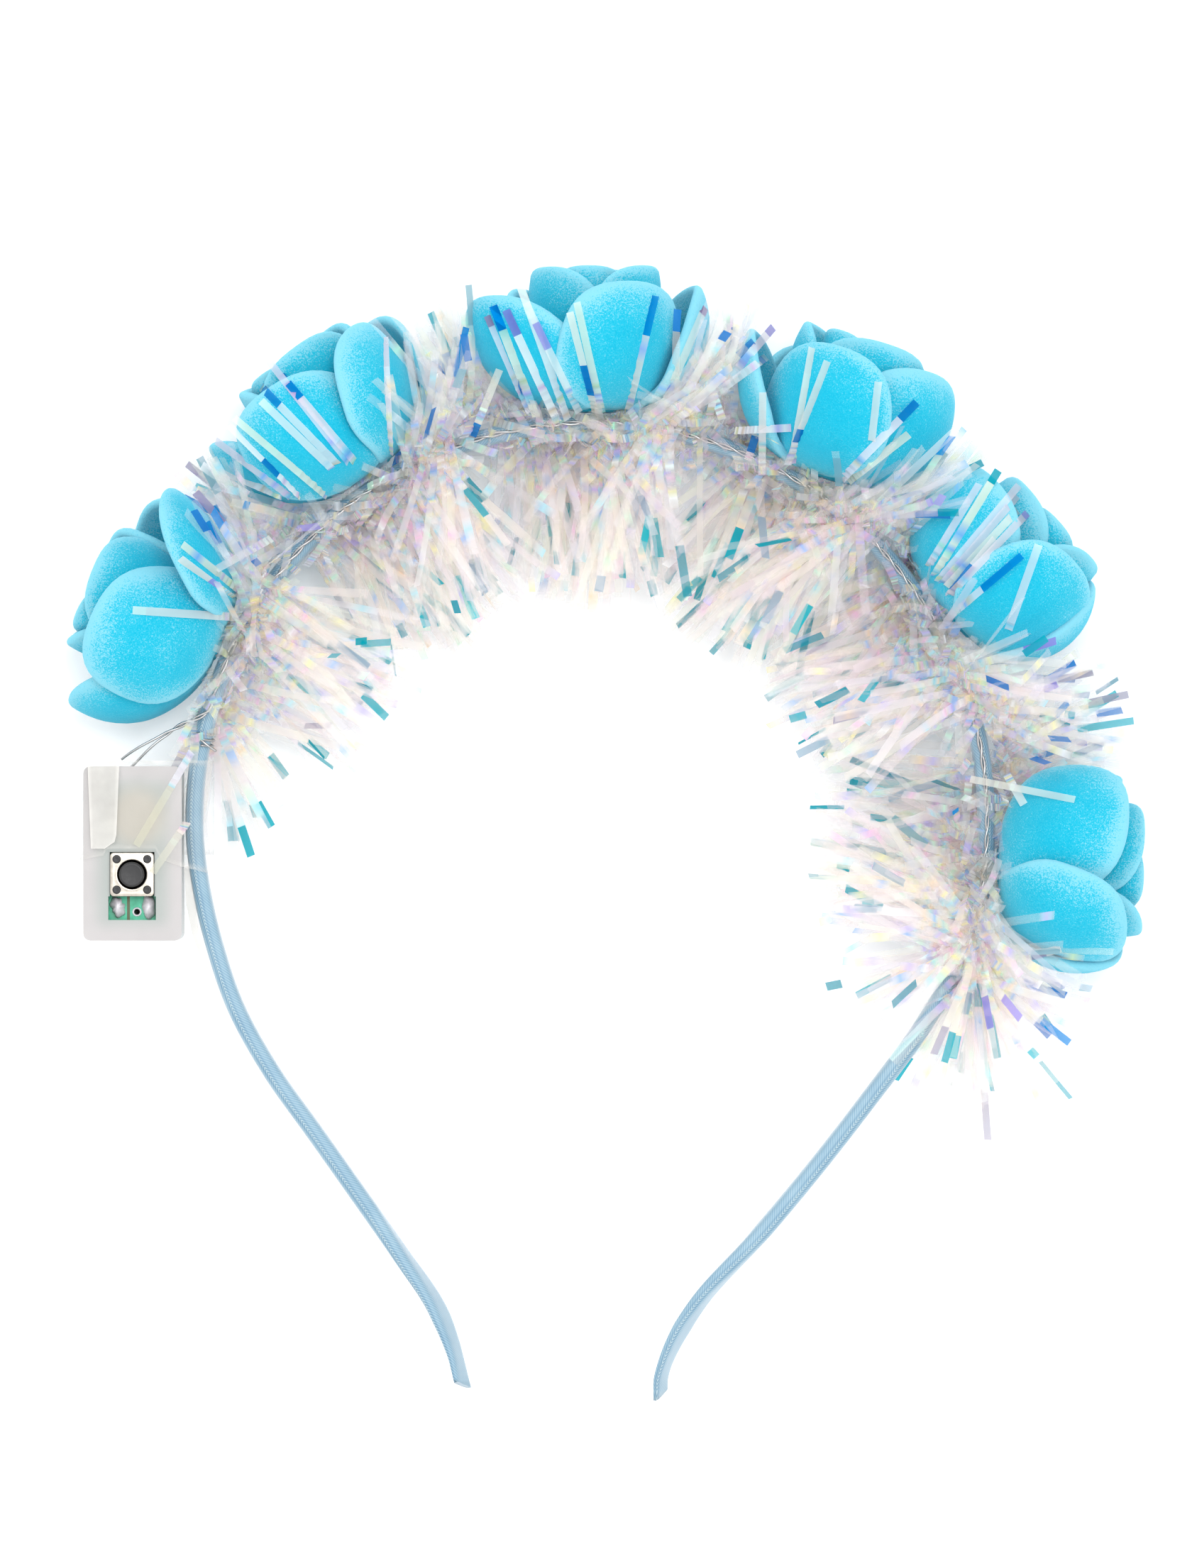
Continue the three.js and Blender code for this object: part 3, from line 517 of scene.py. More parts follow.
def frosted_material():
    """Milky plastic with the board and the cell showing softly through its front, and painted light that
    makes its other faces lighter than the front.
    """
    material = new_material("frosted", Specular_IOR_Level=0.45, Coat_Weight=0.1, Coat_Roughness=0.3)
    x, y, z = part_axes(material)
    wide = off_from(material, x, (CASE["left"] + CASE["right"]) / 2)
    tall = off_from(material, y, (CASE["bottom"] + CASE["top"]) / 2)
    board = math_node(material, "MULTIPLY", fade(material, wide, 3.4, 6.4), fade(material, tall, 8.5, 11.6))
    from_cell = math_node(material, "POWER", math_node(
        material, "ADD", math_node(material, "POWER", off_from(material, x, CELL_AT[0]), 2.0),
        math_node(material, "POWER", off_from(material, y, CELL_AT[1]), 2.0)), 0.5)
    cell = fade(material, from_cell, 2.2, 5.6)
    # 1 on the case's front and 0 on its other faces
    ahead = fade(material, math_node(material, "MULTIPLY", z, -1.0), -5.15, -4.4)
    milky = noise(material, 160, 2.0)
    plain = ramp(material, milky, [(0.3, srgb(164, 161, 161)), (0.7, srgb(170, 167, 167))])
    tinted = blended(material, math_node(material, "MULTIPLY", board, 0.8), plain, srgb(142, 150, 146))
    tinted = blended(material, math_node(material, "MULTIPLY", cell, 0.85), tinted, srgb(164, 158, 147))
    # painted light: every face but the front takes the lighter colour
    feed(material, "Base Color", blended(material, ahead, srgb(206, 206, 203), tinted))
    grain = noise(material, 2600, 3.0, 0.6)
    feed(material, "Roughness", scaled(material, grain, 0.2, 0.34))
    bump(material, grain, 0.1, 0.0001)
    return material


def tape_material():
    material = moulded_material("tape", srgb(210, 208, 203), 0.16, Specular_IOR_Level=0.6)
    see_through(material, read_attribute(material, "clear"))
    return material


def board_material():
    material = new_material("board", Roughness=0.35, Coat_Weight=0.4)
    mottle = noise(material, 900, 3.0)
    green = ramp(material, mottle, [(0.3, srgb(30, 172, 130)), (0.7, srgb(66, 204, 162))])
    x, _, _ = part_axes(material)
    trace = fade(material, off_from(material, x, TRACE_X), 0.16, 0.26)
    feed(material, "Base Color", blended(material, trace, green, srgb(74, 84, 40)))
    bump(material, mottle, 0.2, 0.0001)
    return material


FOAM = foam_material()
RIBBON = ribbon_material()
FILM = film_material()
WIRE = metal_material("wire", srgb(182, 182, 182), 0.3, 3000)
SOLDER = metal_material("solder", srgb(244, 240, 246), 0.45, 1800, 0.15)
PLATE = metal_material("plate", srgb(196, 189, 178), 0.34, 1500)
CELL = metal_material("cell", srgb(232, 224, 208), 0.3, 1200)
BLACK = moulded_material("black", srgb(29, 29, 31), 0.5)
BOARD = board_material()
FROSTED = frosted_material()
TAPE = tape_material()
BEAD = moulded_material("bead", srgb(252, 250, 240), 0.12, Transmission_Weight=0.9, IOR=1.45)
CORE = moulded_material("core", srgb(206, 208, 212), 0.3, Specular_IOR_Level=0.7)


# Band
BAND_POINTS = 2400
BAND_STATIONS = 520
BAND_SIDES = 40
TANGENT_STEP = 0.4
SECTION_POWER = 0.55  # below 1 for a section between an oval and a box
TIP_SLANT = 0.35


def band_line():
    half = CROWN_STEP_DEG * CROWN_SEGMENTS / 2

    def leg(rows, end_deg, step):
        points = np.array([crown_point(end_deg + step)[:2], crown_point(end_deg)[:2], *rows])
        share = 1 / (len(points) - 1)
        return centripetal(points, [share + (1 - share) * (k + 1) / LEG_SEGMENTS
                                    for k in range(LEG_SEGMENTS)])

    left = leg(LEFT_LEG, 90 + half, -CROWN_STEP_DEG)[::-1]
    right = leg(RIGHT_LEG, 90 - half, CROWN_STEP_DEG)
    crown = crown_point(90 + half - CROWN_STEP_DEG * np.arange(CROWN_SEGMENTS + 1))[:, :2]
    knots = np.concatenate([left, crown, right])
    fine = centripetal(knots, np.linspace(0, 1, BAND_POINTS))
    return np.column_stack([fine, np.zeros(len(fine))])


BAND_LINE = band_line()
BAND_TRAVEL = run_along(BAND_LINE)
BAND_LENGTH = BAND_TRAVEL[-1]


def band_at(travel):
    point, ahead, behind = (at_run(travel + step, BAND_TRAVEL, BAND_LINE)
                            for step in (0, TANGENT_STEP, -TANGENT_STEP))
    tangent = unit(ahead - behind)
    return point, tangent, np.cross(UP, tangent)


def make_band():
    stations = np.linspace(0, BAND_LENGTH, BAND_STATIONS)
    around = BAND_SIDES
    angles = 2 * math.pi * np.arange(around) / around + math.pi / 2
    cosine, sine = np.cos(angles), np.sin(angles)
    rows = np.array(TIP_SECTIONS, float)
    points, uvs = [], []
    for travel in stations:
        point, tangent, across = band_at(travel)
        from_tip = min(travel, BAND_LENGTH - travel)
        thickness, width, twist = (np.interp(from_tip, rows[:, 0], rows[:, k]) for k in (1, 2, 3))
        twist = math.radians(twist) * np.sign(point[0])
        x = np.sign(cosine) * np.abs(cosine) ** SECTION_POWER * thickness / 2
        z = np.sign(sine) * np.abs(sine) ** SECTION_POWER * width / 2
        z[-1] += RIDGE_RISE
        turned_x = x * math.cos(twist) - z * math.sin(twist)
        turned_z = x * math.sin(twist) + z * math.cos(twist)
        cut = TIP_SLANT * z if from_tip == 0 else 0 * z
        points.append(point + across * turned_x[:, None] + UP * turned_z[:, None] + tangent * cut[:, None])
        step = np.linalg.norm(np.diff(np.column_stack([x, z]), axis=0, append=[[x[0], z[0]]]), axis=1)
        round_it = np.concatenate([[0], np.cumsum(step)])
        uvs.append(np.column_stack([np.full(around + 1, travel), round_it - np.where(
            np.arange(around + 1) > around / 2, round_it[-1], 0)]))
    rings = np.concatenate(points)
    faces = grid_faces(len(stations), around, closed=True)
    faces.append(tuple(range(around))[::-1])
    faces.append(tuple((len(stations) - 1) * around + k for k in range(around)))
    band = Shape()
    band.add(rings, faces)
    solid_shapes.append(band)
    piece = band.piece("satin_band", RIBBON, slot="ribbon", replaces=["band"])
    layer = piece.data.uv_layers.new(name="ribbon")
    flat = np.zeros((len(piece.data.loops), 2), np.float32)
    for index in range((len(stations) - 1) * around):
        row, column = divmod(index, around)
        start = 4 * index
        flat[start:start + 4] = (uvs[row][column], uvs[row][column + 1],
                                 uvs[row + 1][column + 1], uvs[row + 1][column])
    layer.data.foreach_set("uv", flat.ravel())


# Foam roses
PETAL_RINGS = np.array([0.1, 0.21, 0.32, 0.43, 0.54, 0.64, 0.73, 0.81, 0.87, 0.915, 0.94, 0.96, 0.978,
                        0.992, 1.0])
PETAL_SIDES = 52
RIM_FROM = 0.93
SLOPE_STEP = 0.01
# depth of each swell of a petal, and how fast it goes across and along it
PETAL_WAVES = [(0.28, 2.3, 1.9), (0.14, 4.1, 3.3)]
TONES = (0.05, 0.3)
HUB_SIDES = 24
OUTER_HUB = [(0, 0), (2.9, 0), (3.3, 0.3), (3.4, 0.8), (3.2, 1.3), (2.6, 1.6), (0, 1.6)]
INNER_HUB = [(0, 1.9), (2.4, 1.9), (2.8, 2.3), (2.7, 3.4), (2.2, 3.8), (0, 3.8)]
# name, hub with its painted edge sheen and tone, petals with their turn, and the first seed
ROSE_PARTS = [
    ("outer_petals", OUTER_HUB, 0.0, 0.1, OUTER_RING, 0, 0),
    ("inner_petals", INNER_HUB, 0.0, 0.1, INNER_RING, INNER_TURN_DEG, 20),
    ("bud", BUD_PROFILE, 0.2, 0.15, BUD_RING, BUD_TURN_DEG, 40),
]
SEEDS_PER_ROSE = 100
FLOOR_MARGIN = 0.01


def petal_surface(petal, x, y):
    along = (y + 1) / 2
    base = math.radians(petal["base_deg"])
    bend = np.radians(lerp(petal["base_deg"], petal["tip_deg"], along))
    bend_radius = petal["length"] / math.radians(petal["base_deg"] - petal["tip_deg"])
    out = petal["start_radius"] + bend_radius * (np.cos(bend) - math.cos(base))
    height = petal["start_height"] + bend_radius * (math.sin(base) - np.sin(bend))
    taper = lerp(petal["root_share"], 1, smoothstep(along, 0, FULL_WIDTH_AT))
    wrap = x * taper * petal["width"] / 2 / petal["cup"]
    lifted = out - petal["cup"] * (1 - np.cos(wrap)) + petal["lift"] * taper * x
    return np.stack([lifted, petal["cup"] * np.sin(wrap), height], -1)


def petal_form(petal, seed):
    """A cupped foam petal with a soft edge, two skins over a disc that meet there, and the painted sheen
    that lightens it towards that edge.
    """
    draw = np.random.default_rng(seed)
    angles = 2 * math.pi * np.arange(PETAL_SIDES) / PETAL_SIDES
    radius = np.concatenate([[0], np.repeat(PETAL_RINGS, PETAL_SIDES)])
    angle = np.concatenate([[0], np.tile(angles, len(PETAL_RINGS))])
    x, y = radius * np.cos(angle), radius * np.sin(angle)
    power = petal["fullness"]
    fuller = (np.abs(np.cos(angle)) ** power + np.abs(np.sin(angle)) ** power) ** (-1 / power)
    x, y = x * fuller, y * fuller
    middle = petal_surface(petal, x, y)
    across = petal_surface(petal, x + SLOPE_STEP, y) - petal_surface(petal, x - SLOPE_STEP, y)
    along = petal_surface(petal, x, y + SLOPE_STEP) - petal_surface(petal, x, y - SLOPE_STEP)
    normal = unit(np.cross(across, along))
    phases = draw.uniform(0, 2 * math.pi, (2, 2))
    wave = sum(depth * np.sin(fast_x * x + first) * np.sin(fast_y * y + second)
               for (depth, fast_x, fast_y), (first, second) in zip(PETAL_WAVES, phases))
    free = smoothstep(y, -0.7, 0.1)
    middle = middle + normal * (wave * free)[:, None]
    edge = np.clip((radius - RIM_FROM) / (1 - RIM_FROM), 0, 1)
    half = PETAL_THICKNESS / 2 * np.sqrt(np.maximum(1 - edge ** 2, 0))
    front = middle + normal * half[:, None]
    inner = len(radius) - PETAL_SIDES
    back = (middle - normal * half[:, None])[:inner]
    faces = []

    def behind(*corners):
        return tuple(k + len(radius) if k < inner else k for k in corners)

    for n in range(PETAL_SIDES):
        m = (n + 1) % PETAL_SIDES
        faces += [(0, 1 + n, 1 + m), behind(0, 1 + m, 1 + n)]
        for ring in range(len(PETAL_RINGS) - 1):
            a, b = 1 + ring * PETAL_SIDES + n, 1 + ring * PETAL_SIDES + m
            c, d = b + PETAL_SIDES, a + PETAL_SIDES
            faces += [(a, d, c, b), behind(a, b, c, d)]
    # painted sheen, more of it towards the petal's edge
    rim = 0.45 * smoothstep(radius, 0.8, 1.0) + 0.55 * smoothstep(radius, 0.35, 1.0)
    rim = np.concatenate([rim, rim[:inner]])
    return np.concatenate([front, back]), faces, rim, draw.uniform(*TONES)


def turn_about_axis(points, deg):
    cosine, sine = math.cos(math.radians(deg)), math.sin(math.radians(deg))
    return np.column_stack([points[:, 0] * cosine - points[:, 1] * sine,
                            points[:, 0] * sine + points[:, 1] * cosine, points[:, 2]])


def add_ring(shape, place, ring, turn_deg, overlap, opened, seed):
    for k in range(ring["petals"]):
        petal = dict(ring, tip_deg=ring["tip_deg"] + opened.get(k, 0), lift=ring["lift"] * overlap)
        points, faces, rim, tone = petal_form(petal, seed + k)
        turned = turn_about_axis(points, turn_deg + 360 * k / ring["petals"])
        shape.add(place(turned), faces, rim=rim, tone=tone)


def make_rose(number, at_deg, lean_deg, turn_deg, overlap, opened):
    axis = crown_point(at_deg + lean_deg, 1)
    seat = CROWN_RADIUS + BAND_THICKNESS / 2 + GAP + ROSE_HUB_RADIUS * math.sin(math.radians(lean_deg))
    foot = crown_point(at_deg, seat)
    basis = np.array([UP, np.cross(axis, UP), axis])

    def place(points):
        placed = foot + points @ basis
        placed[:, 2] = np.maximum(placed[:, 2], FLOOR_Z + FLOOR_MARGIN)
        return placed

    for part, hub, rim, tone, ring, part_turn, seed in ROSE_PARTS:
        shape = Shape()
        points, faces = lathe(hub, HUB_SIDES)
        shape.add(place(points), faces, rim=rim, tone=tone)
        add_ring(shape, place, ring, turn_deg + part_turn, overlap, opened if ring is OUTER_RING else {},
                 SEEDS_PER_ROSE * number + seed)
        solid_shapes.append(shape)
        shape.piece(f"foam_rose_{number}_{part}", FOAM, slot="foam", replaces=[f"rose_{number}_{part}"])


# Light wire and beads
WIRE_STEPS = 420
WIRE_SIDES = 6
WIRE_RADIUS = 0.18
PAIR_OFFSET = 0.21
PAIR_TURN = 5.5
LEADS_APART = 0.85
LEADS_MEET_AT = 7.0
BEAD_PROFILE = [(0, -1.6), (0.5, -1.55), (1.05, -1.2), (1.4, -0.6), (1.5, 0),
                (1.4, 0.6), (1.05, 1.2), (0.5, 1.55), (0, 1.6)]
BINDING_DEG = (169.2, 167.0)
BINDING_TURNS = 2.6
BINDING_STEPS = 90
BINDING_TAIL = [(-54.9, 11.4, 3.3), (-53.9, 10.5, 3.6), (-52.6, 9.6, 3.2)]


def wire_route():
    degrees = np.linspace(WIRE_FROM_DEG, WIRE_TO_DEG, WIRE_STEPS)
    nearest = np.min([np.abs(degrees - rose[0]) for rose in ROSES], axis=0)
    heights = lerp(WIRE_HIGH, WIRE_LOW, smoothstep(nearest, 0, WIRE_RISE_DEG))
    laid = crown_point(degrees, CROWN_RADIUS, heights)
    lead = centripetal([*WIRE_LEAD, laid[0], laid[6]], np.linspace(0, 0.75, 40))
    return np.concatenate([lead[:-1], laid])


def make_lights():
    route = wire_route()
    _, first, second = path_frames(route)
    travel = run_along(route)
    twist = 2 * math.pi * np.maximum(travel - LEADS_MEET_AT, 0) / PAIR_TURN
    reach = lerp(LEADS_APART, PAIR_OFFSET, smoothstep(travel, 0, LEADS_MEET_AT))[:, None]
    pair = Shape()
    for side in (0, math.pi):
        offset = reach * swung(twist + side, first, second)
        pair.add(*tube(route + offset, WIRE_RADIUS, WIRE_SIDES))
    degrees = np.linspace(*BINDING_DEG, BINDING_STEPS)
    round_it = math.pi / 2 + 2 * math.pi * BINDING_TURNS * np.linspace(0, 1, BINDING_STEPS)
    across = BAND_THICKNESS / 2 + 2 * WIRE_RADIUS
    bound = crown_point(degrees, CROWN_RADIUS + across * np.cos(round_it),
                        (BAND_WIDTH / 2 + 2 * WIRE_RADIUS) * np.sin(round_it))
    tail = centripetal([bound[-8], bound[-1], *BINDING_TAIL], np.linspace(0.25, 1, 30))
    pair.add(*tube(np.concatenate([bound[:-1], tail]), WIRE_RADIUS, WIRE_SIDES))
    pair.piece("light_wire_pair", WIRE, slot="wire", replaces=["light_wire"])
    for number, rose in enumerate(ROSES, 1):
        points, faces = lathe(BEAD_PROFILE, HUB_SIDES)
        angle = math.radians(rose[0])
        along = np.array([-math.sin(angle), math.cos(angle), 0])
        basis = np.array([UP, np.cross(along, UP), along])
        add_piece(f"light_drop_{number}", points @ basis + crown_point(rose[0], CROWN_RADIUS, WIRE_HIGH),
                  faces, BEAD, slot="bead", replaces=[f"light_bead_{number}"])


# Battery case, switch and tape
def rounded_square(angles, half, corner):
    """Points of a square with round corners, one for each angle."""
    cosine, sine = np.cos(angles), np.sin(angles)
    reach = half / np.maximum(np.abs(cosine), np.abs(sine))
    x, y = reach * cosine, reach * sine
    inset = half - corner
    past = (np.abs(x) > inset) & (np.abs(y) > inset)
    turn = np.arctan2(np.maximum(np.abs(y) - inset, 1e-9), np.maximum(np.abs(x) - inset, 1e-9))
    x = np.where(past, np.sign(x) * (inset + corner * np.cos(turn)), x)
    y = np.where(past, np.sign(y) * (inset + corner * np.sin(turn)), y)
    return np.column_stack([x, y])


def stacked_rings(rings):
    """A form from rings of equal counts, each given as plan points and a height."""
    count = len(rings[0][0])
    points = np.concatenate([np.column_stack([plan, np.full(count, height)]) for plan, height in rings])
    return points, grid_faces(len(rings), count, closed=True)


SWITCH_SIDES = 96
BUTTON_SIDES = 64
RIVET_SIDES = 28
BODY_CORNER = 0.3
CLOSED = 0.02  # radius that a ring closes to


def make_switch():
    angles = 2 * math.pi * np.arange(SWITCH_SIDES) / SWITCH_SIDES
    round_plan = np.column_stack([np.cos(angles), np.sin(angles)])
    bore = BUTTON_RADIUS + GAP
    half = SWITCH_SIZE / 2 + PLATE_LIP
    middle = np.array([SWITCH_X, SWITCH_Y, 0])
    plate_low = PLATE_TOP - PLATE_THICKNESS
    body_low, body_top = BOARD_FRONT + GAP, plate_low - GAP
    well_low = body_low + SWITCH_FLOOR

    def square(inset=0.0, corner=PLATE_CORNER):
        return rounded_square(angles, half - inset, corner)

    points, faces = stacked_rings([
        (square(), plate_low), (square(), PLATE_TOP - 0.1), (square(0.04), PLATE_TOP - 0.03),
        (square(0.12), PLATE_TOP), (square(0.5), PLATE_TOP),
        (round_plan * (bore + 0.22), PLATE_TOP), (round_plan * (bore + 0.07), PLATE_TOP + 0.03),
        (round_plan * bore, PLATE_TOP - 0.02), (round_plan * bore, plate_low), (square(), plate_low),
    ])
    add_piece("switch_top_plate", points + middle, faces, PLATE, slot="plate", replaces=["switch_plate"])

    housing = Shape()
    points, faces = stacked_rings([
        (round_plan * CLOSED, body_low), (square(0.2, BODY_CORNER), body_low),
        (square(0, BODY_CORNER), body_low + 0.2), (square(0, BODY_CORNER), body_top - 0.15),
        (square(0.15, BODY_CORNER), body_top), (round_plan * bore, body_top),
        (round_plan * bore, well_low), (round_plan * CLOSED, well_low),
    ])
    housing.add(points + middle, faces)
    dome = [(0, PLATE_TOP - 0.25), (RIVET_RADIUS, PLATE_TOP - 0.25), (RIVET_RADIUS, PLATE_TOP + 0.04),
            (RIVET_RADIUS - 0.08, PLATE_TOP + 0.1), (RIVET_RADIUS - 0.25, PLATE_TOP + 0.11),
            (0.16, PLATE_TOP + 0.07), (0, PLATE_TOP + 0.06)]
    for side_x in (-0.5, 0.5):
        for side_y in (-0.5, 0.5):
            points, faces = lathe(dome, RIVET_SIDES)
            housing.add(points + middle + np.array([side_x, side_y, 0]) * RIVET_SPACING, faces)
    housing.piece("switch_housing", BLACK, slot="black", replaces=["switch_body"])

    left, right = SWITCH_X - half - LIP_GAP, SWITCH_X + half + LIP_GAP
    low, high = SWITCH_Y - half, SWITCH_Y + half + LIP_GAP
    lip = np.array([
        (WINDOW["left"], low), (left, low), (left, high), (right, high), (right, low),
        (WINDOW["right"], low), (WINDOW["right"], WINDOW["top"]), (WINDOW["left"], WINDOW["top"])])
    points, faces = stacked_rings([(lip, CASE["front"] - CASE_WALL), (lip, CASE["front"] - 0.06)])
    faces += [tuple(range(8))[::-1], tuple(range(8, 16))]
    add_piece("window_lip", points, faces, FROSTED, slot="frosted", flat=True)

    low, top = well_low + GAP + BUTTON_TRAVEL, PLATE_TOP + BUTTON_RISE
    points, faces = lathe([
        (0, low), (BUTTON_RADIUS - 0.1, low), (BUTTON_RADIUS, low + 0.1), (BUTTON_RADIUS, top - 0.3),
        (BUTTON_RADIUS - 0.05, top - 0.14), (BUTTON_RADIUS - 0.16, top - 0.03), (BUTTON_RADIUS - 0.28, top),
        (BUTTON_RADIUS - 0.42, top - 0.02), (BUTTON_RADIUS - 0.6, top - 0.05), (0, top - 0.06)],
        BUTTON_SIDES)
    add_piece("push_button", points + middle, faces, BLACK, body="button", slot="black",
              replaces=["switch_button"])


SOLDER_PROFILE = [(0, 0), (1.0, 0), (1.06, 0.12), (0.98, 0.45), (0.8, 0.8), (0.52, 1.1), (0.25, 1.28),
                  (0, 1.34)]
SOLDER_SIDES = 40
SOLDER_SWELL = 0.13
EYELET_PROFILE = [(0.42, -0.3), (0.42, 0.04), (0.5, 0.09), (0.64, 0.06), (0.66, 0.0), (0.42, -0.3)]
EYELET_SIDES = 32


def make_solder():
    for side, x, y, wide, tall, seed in SOLDER_LUMPS:
        draw = np.random.default_rng(seed)
        points, faces = lathe(SOLDER_PROFILE, SOLDER_SIDES)
        angle = np.arctan2(points[:, 1], points[:, 0])
        wave = np.zeros(len(points))
        for order in (2, 3, 5, 7):
            depth = draw.normal(0, SOLDER_SWELL / order ** 0.5)
            wave += depth * np.cos(order * angle + draw.uniform(0, 6.3) + 2 * points[:, 2])
        swell = (1 + wave)[:, None]
        points[:, :2] *= swell * np.array([wide, tall])
        points += np.array([x, y, BOARD_FRONT + 0.02])
        add_piece(f"solder_lump_{side}", points, faces, SOLDER, slot="solder", replaces=[f"solder_{side}"])
    points, faces = lathe(EYELET_PROFILE, EYELET_SIDES)
    add_piece("board_eyelet", points + np.array([*TEST_HOLE, BOARD_FRONT]), faces, SOLDER, slot="solder")


def filleted(corners, radius, steps=5):
    """A closed line through the corners, each turned on a small arc."""
    corners = np.asarray(corners, float)
    line = []
    for before, at, after in zip(np.roll(corners, 1, axis=0), corners, np.roll(corners, -1, axis=0)):
        into, away = unit(at - before), unit(after - at)
        turn = math.acos(np.clip(np.dot(into, away), -1, 1))
        run = radius * math.tan(turn / 2)
        for share in np.linspace(0, 1, steps):
            early, late = at - into * run * (1 - share), at + away * run * share
            line.append(lerp(early, late, share))
    return np.array(line)


TAPE_CORNER = 0.7
TAPE_SIDES = 120
TAPE_ROWS = np.array([0, 0.02, 0.06, 0.2, 0.36, 0.52, 0.68, 0.82, 0.94, 0.98, 1.0])
# how clear the tape is: its face, its edges, its fold, the fold's edges and its tail
TAPE_CLEAR, EDGE_CLEAR, FOLD_CLEAR, FOLD_EDGE_CLEAR, TAIL_CLEAR = 0.92, 0.7, 0.36, 0.2, 0.3
FOLD_COLUMNS = np.linspace(0, 1, 9)
FOLD_ROWS = 14
FOLD_LIFT = 0.14
FOLD_NARROWS = 0.5


def make_tape():
    """Clear tape round the case and the band, with the whitish overlap where it ends."""
    off = GAP + TAPE_THICKNESS / 2
    band_right = -CROWN_RADIUS + BAND_THICKNESS / 2 + TAPE_SLACK + off
    corners = [
        (CASE["left"] - off, CASE["front"] + off), (CASE["right"], CASE["front"] + off),
        (band_right, BAND_WIDTH / 2 + off), (band_right, -BAND_WIDTH / 2 - off),
        (CASE["right"], CASE["back"] - off), (CASE["left"] - off, CASE["back"] - off),
    ]
    loop = filleted(corners, TAPE_CORNER)
    loop = np.concatenate([loop, loop[:1]])
    run = run_along(loop)
    around = np.sort(np.concatenate([np.linspace(0, run[-1], TAPE_SIDES, endpoint=False), run[:-1]]))
    x, z = at_run(around, run, loop).T
    low = np.interp(x, *np.transpose(TAPE_LOWER_EDGE))
    low = np.where(z > 0, low, TAPE_LOWER_EDGE[1][1])
    y = lerp(low[None, :], TAPE_TOP, TAPE_ROWS[:, None])
    phase = np.random.default_rng(31).uniform(0, 6.3, 3)
    wrinkle = (0.05 * np.sin(0.9 * around[None, :] + 0.7 * y + phase[0])
               + 0.04 * np.sin(2.3 * around - 1.7 * y + phase[1]))
    centre_x = (CASE["left"] + band_right) / 2
    outward = unit(np.column_stack([0.35 * (x - centre_x), z]))
    points = np.stack([x + wrinkle * outward[:, 0], y, z + wrinkle * outward[:, 1]], -1).reshape(-1, 3)
    edge = np.minimum(TAPE_ROWS, 1 - TAPE_ROWS)
    clear = np.repeat(np.where(edge < 0.03, EDGE_CLEAR, TAPE_CLEAR), len(around))
    tape = Shape()
    tape.add(points, grid_faces(len(TAPE_ROWS), len(around), closed=True), clear=clear)

    left, right, bottom = TAPE_FOLD
    fold = []
    for share in np.linspace(0, 1, FOLD_ROWS):
        taper = smoothstep(share, 0.9, 1.0) * 1.6
        fold_x = lerp(left + FOLD_NARROWS * share, right - FOLD_NARROWS * share - taper, FOLD_COLUMNS)
        fold_y = lerp(TAPE_TOP + 0.15, bottom, share) + 0 * FOLD_COLUMNS
        lift = CASE["front"] + off + FOLD_LIFT + 0.05 * np.sin(3 * FOLD_COLUMNS + 5 * share)
        fold.append(np.column_stack([fold_x, fold_y, lift]))
    at_edge = (FOLD_COLUMNS < 0.07) | (FOLD_COLUMNS > 0.93)
    clear = np.tile(np.where(at_edge, FOLD_EDGE_CLEAR, FOLD_CLEAR), FOLD_ROWS)
    faces = [face[::-1] for face in grid_faces(FOLD_ROWS, len(FOLD_COLUMNS))]
    tape.add(np.concatenate(fold), faces, clear=clear)
    tail = np.array(TAPE_TAIL)
    heights = np.full(len(tail), TAPE_TAIL_HEIGHT)
    edges = [np.column_stack([tail[:, 0] + way * tail[:, 2] / 2, tail[:, 1], heights]) for way in (-1, 1)]
    tape.add(np.stack(edges, 1).reshape(-1, 3), grid_faces(len(tail), 2), clear=TAIL_CLEAR)
    tape.piece("tape_wrap", TAPE, slot="tape", replaces=["clear_tape"])


CASE_BEVEL = 0.00035
BEVEL_ANGLE_DEG = 50


def dress_nodes():
    finishes = {
        "battery_case": FROSTED, "battery_cover": FROSTED, "circuit_board": BOARD,
        "button_cell_1": CELL, "button_cell_2": CELL,
    }
    for name, material in finishes.items():
        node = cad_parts[name]
        node.data.materials.clear()
        node.data.materials.append(material)
        if material is FROSTED:
            bevel = node.modifiers.new("soft edges", "BEVEL")
            bevel.width = CASE_BEVEL
            bevel.segments = 3
            bevel.limit_method = "ANGLE"
            bevel.angle_limit = math.radians(BEVEL_ANGLE_DEG)


# Tinsel garland
def travel_at(deg):
    """How far along the band a place on the crown is."""
    return BAND_TRAVEL[np.argmin(np.linalg.norm(BAND_LINE - crown_point(deg), axis=1))]


def garland_core():
    """Turns of the core about the band, one from rose to rose, and how far along the band each comes."""
    travels = [travel_at(rose[0]) for rose in ROSES]
    first = travels[0] - GARLAND_LEAD_IN * (travels[1] - travels[0])
    last = travels[-1] + GARLAND_RUN_OUT * (travels[-1] - travels[-2])
    turns = [-GARLAND_LEAD_IN, *range(len(ROSES)), len(ROSES) - 1 + GARLAND_RUN_OUT]
    return np.array(turns, float), np.array([first, *travels, last], float)


CORE_TURNS, CORE_KNOTS = garland_core()


def core_at(turn):
    travel = np.interp(turn, CORE_TURNS, CORE_KNOTS)
    point, tangent, across = band_at(travel)
    phase = math.pi - 2 * math.pi * np.asarray(turn)
    place = (point + across * (CORE_REACH_ACROSS * np.cos(phase))[..., None]
             + UP * (CORE_REACH_UP * np.sin(phase))[..., None])
    return place, tangent, across


